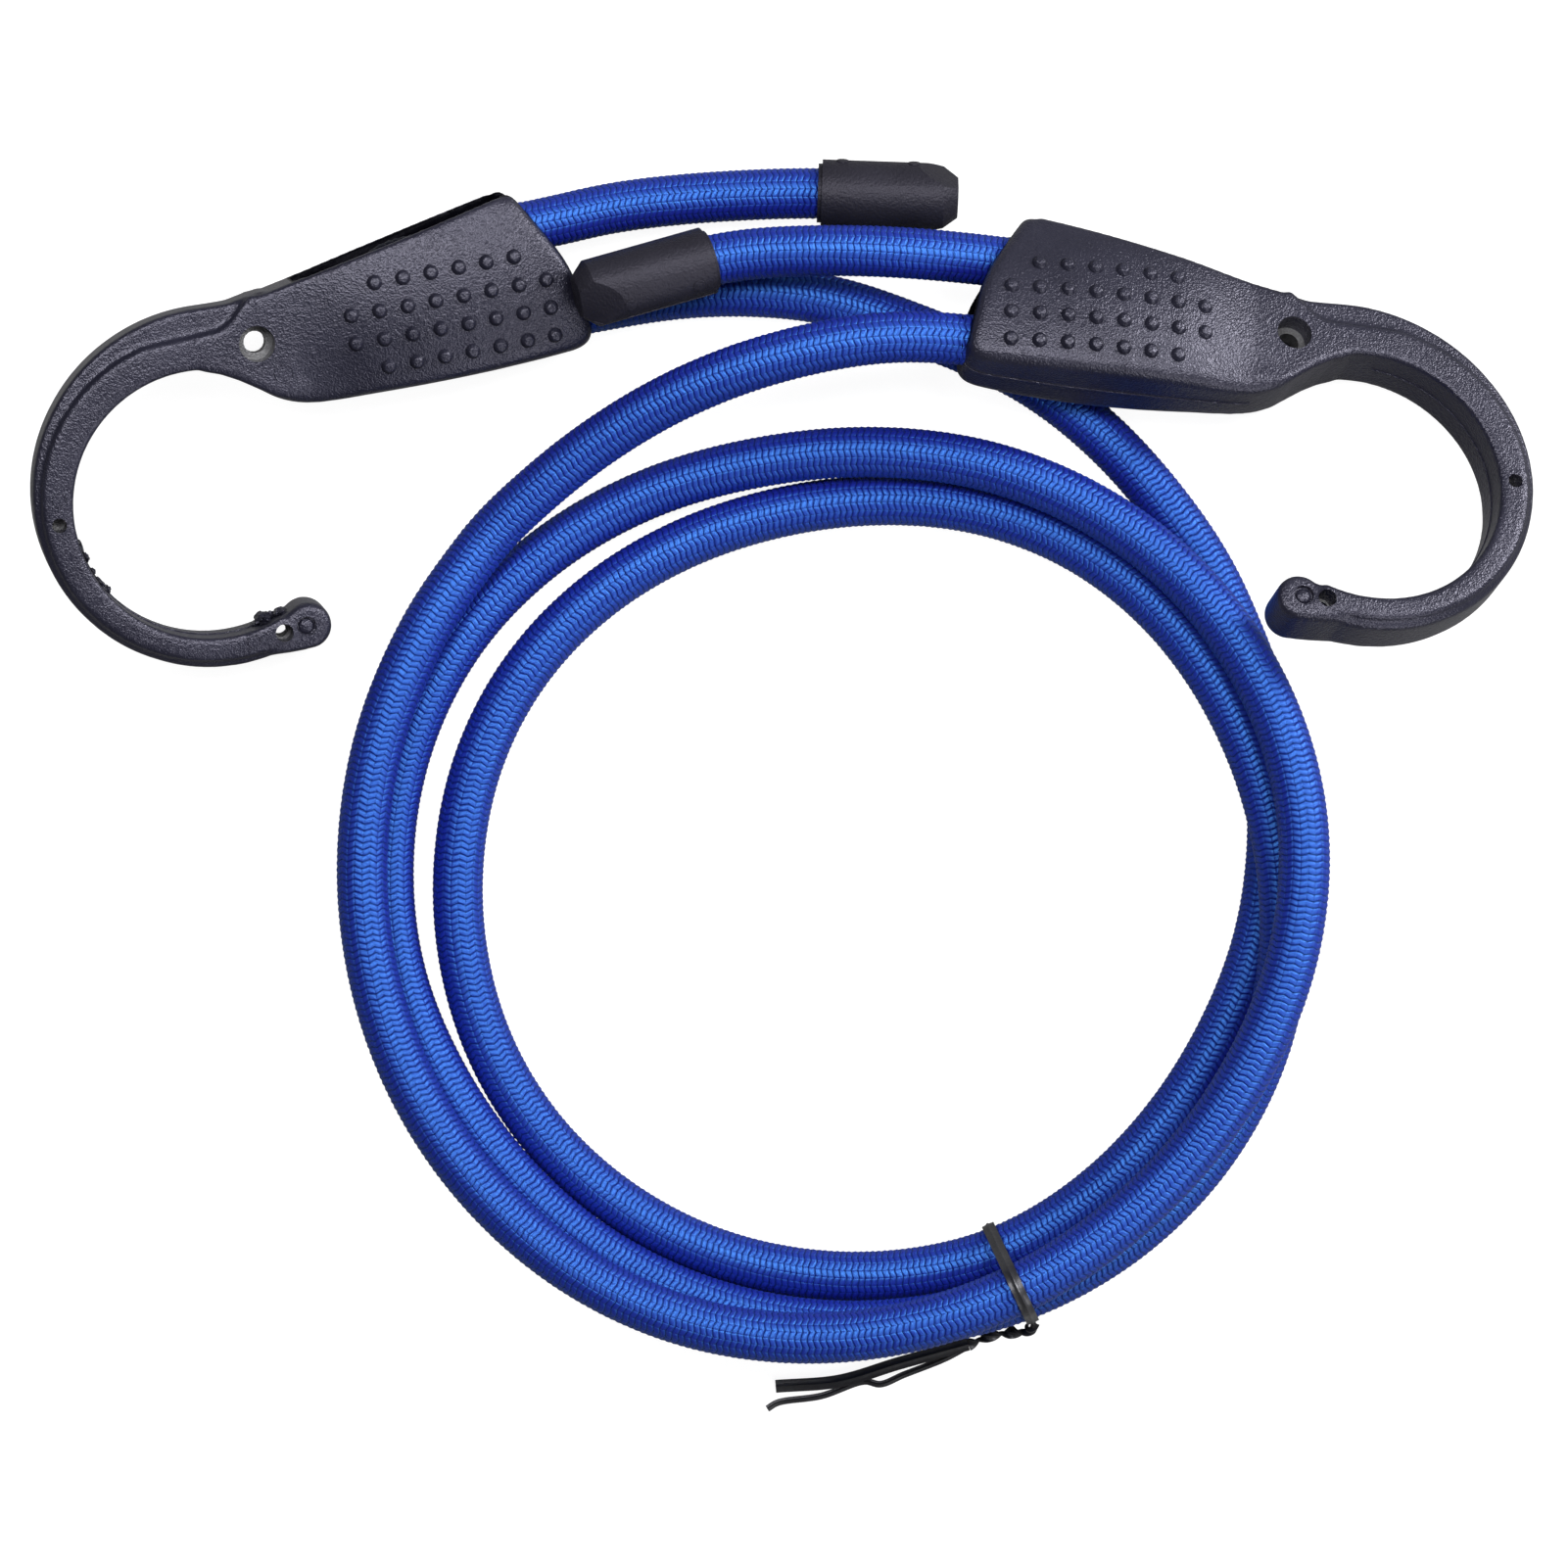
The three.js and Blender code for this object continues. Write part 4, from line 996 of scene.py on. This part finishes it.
def paintShadeInGrip(s, shell):
    # an attribute that is 1 inside the grip, where hardly any light comes
    places = placesOf(shell) / mm
    share = s["paintedShadeShare"]
    u = places[:, 0] * share + s["crownCentre"][0] * (1 - share)
    v = places[:, 1] * share + s["crownCentre"][1] * (1 - share)
    outline = cavityOutline(s)
    within = np.zeros(len(u), bool)
    for (u1, v1), (u2, v2) in zip(outline, outline[1:] + outline[:1]):
        if v1 != v2:
            within ^= ((v1 > v) != (v2 > v)) & (u < (u2 - u1) * (v - v1) / (v2 - v1) + u1)
    depth = s["thickness"] / 2 - crownDrop(s, places[:, 0], places[:, 1]) - np.abs(places[:, 2])
    deep, shallow = s["paintedShadeUnder"]
    inside = within * smoothStep(depth, s["lip"] - deep, s["lip"] - shallow)
    layer = shell.data.attributes.new("inside", "FLOAT", "POINT")
    layer.data.foreach_set("value", inside.astype(np.float32))


def faceHeight(s, u, v, onRing):
    low = s["bandThickness"] / 2
    if onRing:
        return low
    high = s["thickness"] / 2 - float(crownDrop(s, u, v))
    return high - (high - low) * (1 - float(smoothStep(u, *s["neckTaper"])))


def addStuds(s, shell):
    # rows of raised dots on both faces, and on one the thin round ridges of the ejector marks
    studs = []
    for row, (first, last) in enumerate(s["dotRows"]):
        for column in range(first, last + 1):
            u = s["dotStart"][0] - column * s["dotPitch"]
            v = s["dotStart"][1] - row * s["dotPitch"]
            studs.append((u, v, s["dotRadius"], s["dotTop"], s["dotHeight"], False))
    for u, v, radius in s["marks"]:
        studs.append((u, v, radius, 0, 0, u < 0))
    made = []
    for u, v, radius, top, height, onRing in studs:
        for side in (1, -1) if height else (1,):
            if height:
                stud = addPeg(radius, top, height, s["dotSunk"], s["dotEdge"])
            else:
                stud = addRing(radius, s["markRidge"])
            slopeU = (faceHeight(s, u + 1, v, onRing) - faceHeight(s, u - 1, v, onRing)) / 2
            slopeV = (faceHeight(s, u, v + 1, onRing) - faceHeight(s, u, v - 1, onRing)) / 2
            normal = Vector((-slopeU, -slopeV, 1)).normalized()
            normal.z *= side
            place = Vector((u, v, side * faceHeight(s, u, v, onRing)))
            turn = normal.to_track_quat("Z", "Y").to_matrix().to_4x4()
            stud.data.transform(Matrix.Translation(place * mm) @ turn)
            made.append(stud)
    return joinPieces(shell, made, "hookShell")


def finishPiece(obj, name, matrix, material, body, nodes, angle=35):
    obj.name = name
    obj.data.name = name
    obj.data.transform(matrix)
    obj.data.update()
    selectOnly(obj)
    bpy.ops.object.shade_smooth_by_angle(angle=math.radians(angle))
    obj.data.materials.clear()
    obj.data.materials.append(material)
    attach(obj, body)
    if nodes:
        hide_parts(*nodes)
    print(name, sum(len(p.vertices) - 2 for p in obj.data.polygons), "triangles")
    return obj


def addFlash(s, shell):
    # small torn lumps of flash along the inner edge of the ring
    lumps = []
    for degrees, past, length, width, through in s["flash"]:
        lump = addBall((1.0, 1.0), (0, 0, 0))
        for vertex in lump.data.vertices:
            vertex.co *= random.uniform(*s["flashUneven"])
        u, v = ringPlace(s, degrees, past)
        turn = Matrix.Rotation(math.radians(degrees), 4, "Z") @ Matrix.Diagonal((width, length, through, 1))
        shift = random.uniform(-s["flashShift"], s["flashShift"])
        lump.data.transform(Matrix.Translation((u * mm, v * mm, shift * mm)) @ turn)
        lumps.append(lump)
    return joinPieces(shell, lumps, "hookShell")


def copyPiece(obj):
    other = obj.copy()
    other.data = obj.data.copy()
    scene.collection.objects.link(other)
    return other


nylonSettings = {
    "colour": (0.0085, 0.0085, 0.0155, 1),
    "worn": (0.0135, 0.0135, 0.023, 1),
    "specular": 0.42,
    # painted shade colour for the grip's cavity, where the attribute "inside" is set
    "inside": (0.0012, 0.0012, 0.002, 1),
    "gloss": (0.84, 0.82, 1, 1),
    "roughness": (0.25, 0.35),
    "grain": 3400.0,
    "grainDepth": 0.00024,
}


# what the three plastics have in common
grainSettings = {
    "smoothness": 0.8,
    "pitShare": 0.45,
    "cellShare": 0.6,
    "strength": 0.6,
    "patches": 90,
    "patchStops": (0.35, 0.75),
}


def makeNylon(name, s):
    common = grainSettings
    material, tree, shader = newMaterial(name, s["colour"], s["roughness"][0], s["specular"])
    shader.inputs["Specular Tint"].default_value = s["gloss"]
    place = addNode(tree, "ShaderNodeTexCoord").outputs["Object"]
    grain = addNode(tree, "ShaderNodeTexVoronoi", feature="SMOOTH_F1")
    grain.inputs["Scale"].default_value = s["grain"]
    grain.inputs["Smoothness"].default_value = common["smoothness"]
    tree.links.new(place, grain.inputs["Vector"])
    pits = noiseNode(tree, place, s["grain"] * common["pitShare"], 4)
    patches = noiseNode(tree, place, common["patches"], 3)
    colour = rampNode(tree, patches, list(zip(common["patchStops"], (s["colour"], s["worn"]))))
    # painted shade where the attribute "inside" is set
    paintShadeInside(tree, shader, colour, s["inside"], s["specular"])
    tree.links.new(rangeNode(tree, patches, *s["roughness"]).outputs[0], shader.inputs["Roughness"])
    cells = mathNode(tree, "MULTIPLY", grain.outputs["Distance"], common["cellShare"])
    height = mathNode(tree, "ADD", cells, pits)
    tree.links.new(bumpNode(tree, height, s["grainDepth"], common["strength"]), shader.inputs["Normal"])
    return material


hookNylon = makeNylon("hookNylon", nylonSettings)
hookShell = addSeam(hookSettings, addStuds(hookSettings, makeHookShell(hookSettings)))
paintShadeInGrip(hookSettings, hookShell)
for hand in ("left", "right"):
    shell = copyPiece(hookShell)
    if hand == "left":
        shell = addFlash(hookSettings, shell)
    finishPiece(shell, hand + "_hook_shell", poseMatrix(hookPoses[hand]), hookNylon,
                hand + "_hook", [hand + "_hook_body"])
bpy.data.objects.remove(hookShell)
print("hooks made")


# the pressed steel strip inside each hook, carried from the CAD part
steelSettings = {
    "colour": (0.10, 0.10, 0.105, 1),
    "light": (0.17, 0.17, 0.175, 1),
    "roughness": 0.46,
    "grain": 3200.0,
    "grainDepth": 0.00006,
    "stops": (0.35, 0.7),
}


def makeSteel(s):
    material, tree, shader = newMaterial("pressedSteel", s["colour"], s["roughness"], 0.5, 0.85)
    place = addNode(tree, "ShaderNodeTexCoord").outputs["Object"]
    grain = noiseNode(tree, place, s["grain"], 4)
    colour = rampNode(tree, grain, list(zip(s["stops"], (s["colour"], s["light"]))))
    tree.links.new(colour, shader.inputs["Base Color"])
    tree.links.new(bumpNode(tree, grain, s["grainDepth"]), shader.inputs["Normal"])
    return material


steel = makeSteel(steelSettings)
for hand in ("left", "right"):
    core = frame["nodes"][hand + "_hook_core"]
    core.data.materials.clear()
    core.data.materials.append(steel)
print("cores dressed")


# end caps: x runs from the mouth to the tip, the seam lies in the plane z = 0, all in mm
capSettings = {
    "length": 25.0,
    "radius": 6.0,
    "sides": 64,
    "bore": 4.85,
    "boreDepth": 18.5,
    "tipRadius": 3.7,
    "chamfer": 2.6,
    "flatLength": 7.0,
    "flatDepth": 3.1,
    "flatDegrees": 45,
    "lip": 0.7,
    "lipRadius": 5.25,
    "gap": 0.08,
    "edge": 0.16,
    "markRadius": 1.1,
    "markHeight": 0.14,
    "markShares": (0.17, 0.68),
    "markDegrees": 35,
    "markSunk": 0.5,
    "markEdge": 0.06,
    # the thin line of flash on the seam: from and to along x, height and thickness
    "fin": (1.4, 17.5, 0.12, 0.16),
    "boxSize": 40,
    "sharpDegrees": 18,
}
capNylonSettings = {
    "colour": (0.008, 0.0075, 0.0115, 1),
    "worn": (0.012, 0.0115, 0.017, 1),
    # painted shade colour, used where the attribute "inside" is set
    "inside": (0.0012, 0.0012, 0.002, 1),
    "specular": 0.26,
    "gloss": (0.86, 0.83, 1, 1),
    "roughness": (0.46, 0.56),
    "grain": 2800.0,
    "grainDepth": 0.00022,
}


def pickFace(obj, way):
    # selects the face that lies furthest along x, one way or the other
    selectOnly(obj)
    bpy.ops.object.mode_set(mode="EDIT")
    bpy.ops.mesh.select_all(action="DESELECT")
    bpy.ops.object.mode_set(mode="OBJECT")
    face = max(obj.data.polygons, key=lambda polygon: polygon.center.x * way)
    for vertex in obj.data.vertices:
        vertex.select = False
    for edge in obj.data.edges:
        edge.select = False
    face.select = True
    bpy.ops.object.mode_set(mode="EDIT")
    bpy.ops.mesh.select_mode(type="FACE")


def makeCapHalf(s, half):
    reach = s["length"] - s["chamfer"] - s["lip"]
    deselect()
    bpy.ops.mesh.primitive_cylinder_add(vertices=s["sides"], radius=s["radius"] * mm, depth=reach * mm)
    cap = bpy.context.object
    lying = Matrix.Rotation(math.pi / 2, 4, "Y")
    cap.data.transform(Matrix.Translation(((s["lip"] + reach / 2) * mm, 0, 0)) @ lying)
    pickFace(cap, 1)
    bpy.ops.mesh.extrude_region_move(TRANSFORM_OT_translate={"value": (s["chamfer"] * mm, 0, 0)})
    share = s["tipRadius"] / s["radius"]
    bpy.ops.transform.resize(value=(1, share, share))
    pickFace(cap, -1)
    bpy.ops.mesh.inset(thickness=(s["radius"] - s["lipRadius"]) * mm)
    bpy.ops.mesh.extrude_region_move(TRANSFORM_OT_translate={"value": (-s["lip"] * mm, 0, 0)})
    bpy.ops.object.mode_set(mode="OBJECT")
    # a long flat on each half, the bore, and the other half taken away
    cutters = []
    far = s["boxSize"]
    for turn in (0, math.pi):
        flat = addBox((far, 2 * far, 2 * far), (far / 2, 0, 0))
        place = Matrix.Rotation(math.radians(s["flatDegrees"]) + turn, 4, "X")
        place = place @ Matrix.Translation(Vector((s["length"] - s["flatLength"], s["radius"], 0)) * mm)
        flat.data.transform(place @ Matrix.Rotation(math.atan2(s["flatLength"], s["flatDepth"]), 4, "Z"))
        cutters.append(flat)
    bore = addRod(s["bore"], 2 * s["boreDepth"], (0, 0, 0), s["sides"])
    bore.data.transform(lying)
    cutters.append(bore)
    cutters.append(addBox((3 * far, far, far), (0, 0, half * (s["gap"] - far) / 2)))
    cutWith(cap, cutters)
    roundRims(cap, s["edge"], 2, s["sharpDegrees"])
    extras = []
    for share in s["markShares"]:
        middle = s["radius"] + s["markHeight"] - s["markSunk"]
        mark = addRod(s["markRadius"], 2 * s["markSunk"], (0, 0, middle), 32, s["markEdge"])
        turn = Matrix.Rotation(math.radians(s["markDegrees"] - 90) + (half < 0) * math.pi, 4, "X")
        mark.data.transform(Matrix.Translation((s["length"] * share * mm, 0, 0)) @ turn)
        extras.append(mark)
    if half < 0:
        first, last, height, thick = s["fin"]
        size = (last - first, 2 * height, thick)
        for side in (1, -1):
            extras.append(addBox(size, ((first + last) / 2, side * s["radius"], -thick / 2)))
    return joinPieces(cap, extras, "capHalf")


capNylon = makeNylon("capNylon", capNylonSettings)
for part, half in (("upper", 1), ("lower", -1)):
    master = makeCapHalf(capSettings, half)
    for hand in ("left", "right"):
        node = hand + "_cap_" + part
        finishPiece(
            copyPiece(master), node + "_shell", poseMatrix(capPoses[hand]), capNylon,
            hand + "_cap", [node], capSettings["sharpDegrees"],
        )
    bpy.data.objects.remove(master)
print("caps made")


# twist tie: a flat ribbon with a wire along its middle, all in mm
tieSettings = {
    "degrees": 155,
    "width": 2.3,
    "wireThick": 0.85,
    "columns": [-1, -0.62, -0.3, 0, 0.3, 0.62, 1],
    "thickShares": [0.33, 0.33, 0.45, 1, 0.45, 0.33, 0.33],
    "reach": 5.05,
    "loopSteps": 96,
    "loopGap": 0.7,
    "weld": 0.02,
    "knot": [
        (44.3, -158.8, 9.4), (43.8, -160.2, 6.6), (41, -161.0, 4.0), (37, -161.7, 2.7), (33, -163.5, 1.7),
    ],
    "knotSteps": 16,
    "twists": 2,
    # each end with its share of the ribbon's width
    "ends": [
        (1.0, [
            (33, -163.4, 1.8), (28, -164.8, 1.6), (20.5, -166.9, 1.4), (9.9, -170.1, 1.0),
            (-1.5, -171.1, 0.6),
        ]),
        (0.52, [
            (33, -163.8, 1.3), (29, -166.0, 0.9), (21.5, -169.0, 0.7), (17.3, -170.7, 0.7),
            (14.4, -170.2, 0.7), (6.7, -172.8, 0.7), (-1.1, -174.0, 0.7), (-3.0, -175.1, 0.7),
        ]),
    ],
    "endSteps": 14,
    "sharpDegrees": 50,
}


def tieLoop(s):
    # round hull of the strands that the tie goes round
    centre = np.array(cordSettings["coilCentre"], float)
    path = cordPieces["cord_coil"]["path"] / mm
    turn = math.radians(s["degrees"])
    outward = np.array([math.sin(turn), math.cos(turn)])
    across = np.array([math.cos(turn), -math.sin(turn)])
    aside = (path[:, :2] - centre) @ across
    radial = (path[:, :2] - centre) @ outward
    strands = []
    for i in np.nonzero((aside[:-1] * aside[1:] <= 0) & (radial[:-1] > 0))[0]:
        strands.append((radial[i], path[i, 2]))
    stations = []
    for step in range(s["loopSteps"]):
        angle = 2 * math.pi * step / s["loopSteps"]
        way = (math.cos(angle), math.sin(angle))
        best = max(strands, key=lambda strand: strand[0] * way[0] + strand[1] * way[1])
        spot = best[0] + s["reach"] * way[0]
        height = max(best[1] + s["reach"] * way[1], s["wireThick"] / 2)
        place = np.array([centre[0] + outward[0] * spot, centre[1] + outward[1] * spot, height])
        stations.append((place, np.array([across[0], across[1], 0.0]), 1.0))
    gaps = [np.linalg.norm(stations[i][0] - stations[i - 1][0]) for i in range(len(stations))]
    filled = []
    for i, (place, side, share) in enumerate(stations):
        count = max(1, int(gaps[i] / s["loopGap"]))
        before = stations[i - 1][0]
        filled += [(before + (place - before) * (k + 1) / count, side, share) for k in range(count)]
    return filled


def makeRibbon(s, stations, closed):
    # a grid bent along the stations, then given its thickness, thickest over the wire
    columns, count = len(s["columns"]), len(stations)
    rows = count + (1 if closed else 0)
    deselect()
    bpy.ops.mesh.primitive_grid_add(x_subdivisions=columns - 1, y_subdivisions=rows - 1, size=mm)
    ribbon = bpy.context.object
    group = ribbon.vertex_groups.new(name="thickness")
    spots = np.array([station[0] for station in stations])
    for row in range(rows):
        place, side, share = stations[row % count]
        before = spots[(row - 1) % count] if closed else spots[max(row - 1, 0)]
        after = spots[(row + 1) % count] if closed else spots[min(row + 1, count - 1)]
        along = (after - before) / (np.linalg.norm(after - before) + 1e-9)
        across = side - along * np.dot(side, along)
        across /= np.linalg.norm(across)
        for column in range(columns):
            index = row * columns + column
            spot = place + across * s["columns"][column] * s["width"] / 2 * share
            ribbon.data.vertices[index].co = spot * mm
            group.add([index], s["thickShares"][column], "REPLACE")
    if closed:
        selectOnly(ribbon)
        bpy.ops.object.mode_set(mode="EDIT")
        bpy.ops.mesh.select_all(action="SELECT")
        bpy.ops.mesh.remove_doubles(threshold=s["weld"] * mm)
        bpy.ops.mesh.normals_make_consistent(inside=False)
        bpy.ops.object.mode_set(mode="OBJECT")
    applyModifier(ribbon, "SOLIDIFY", thickness=s["wireThick"] * mm, offset=0, vertex_group="thickness")
    return ribbon


def wayAt(path, i):
    return path[min(i + 1, len(path) - 1)] - path[max(i - 1, 0)]


def makeTie(s):
    pieces = [makeRibbon(s, tieLoop(s), True)]
    knot = catmullRom(s["knot"], s["knotSteps"])
    stations = []
    for i, place in enumerate(knot):
        way = wayAt(knot, i)
        way /= np.linalg.norm(way)
        flat = Vector((-way[1], way[0], 0)).normalized()
        turn = Matrix.Rotation(2 * math.pi * s["twists"] * i / (len(knot) - 1), 3, Vector(way))
        stations.append((place, np.array(turn @ flat), 1.0))
    pieces.append(makeRibbon(s, stations, False))
    for share, places in s["ends"]:
        path = catmullRom(places, s["endSteps"])
        stations = []
        for i, place in enumerate(path):
            way = wayAt(path, i)
            stations.append((place, np.array([-way[1], way[0], 0.0]), share))
        pieces.append(makeRibbon(s, stations, False))
    return joinPieces(pieces[0], pieces[1:], "twistTie")


tieFilmSettings = {
    "colour": (0.009, 0.009, 0.011, 1),
    "worn": (0.026, 0.026, 0.027, 1),
    "specular": 0.5,
    "roughness": (0.3, 0.45),
    "grain": 1500.0,
    "grainDepth": 0.00008,
    # painted shade colour, used where the attribute "inside" is set
    "inside": (0.0012, 0.0012, 0.002, 1),
    "gloss": (0.92, 0.92, 1, 1),
}
tieFilm = makeNylon("tieFilm", tieFilmSettings)
finishPiece(makeTie(tieSettings), "twist_tie_ribbon", Matrix.Identity(4), tieFilm, "coil",
            ["twist_tie"], tieSettings["sharpDegrees"])
print("tie made")
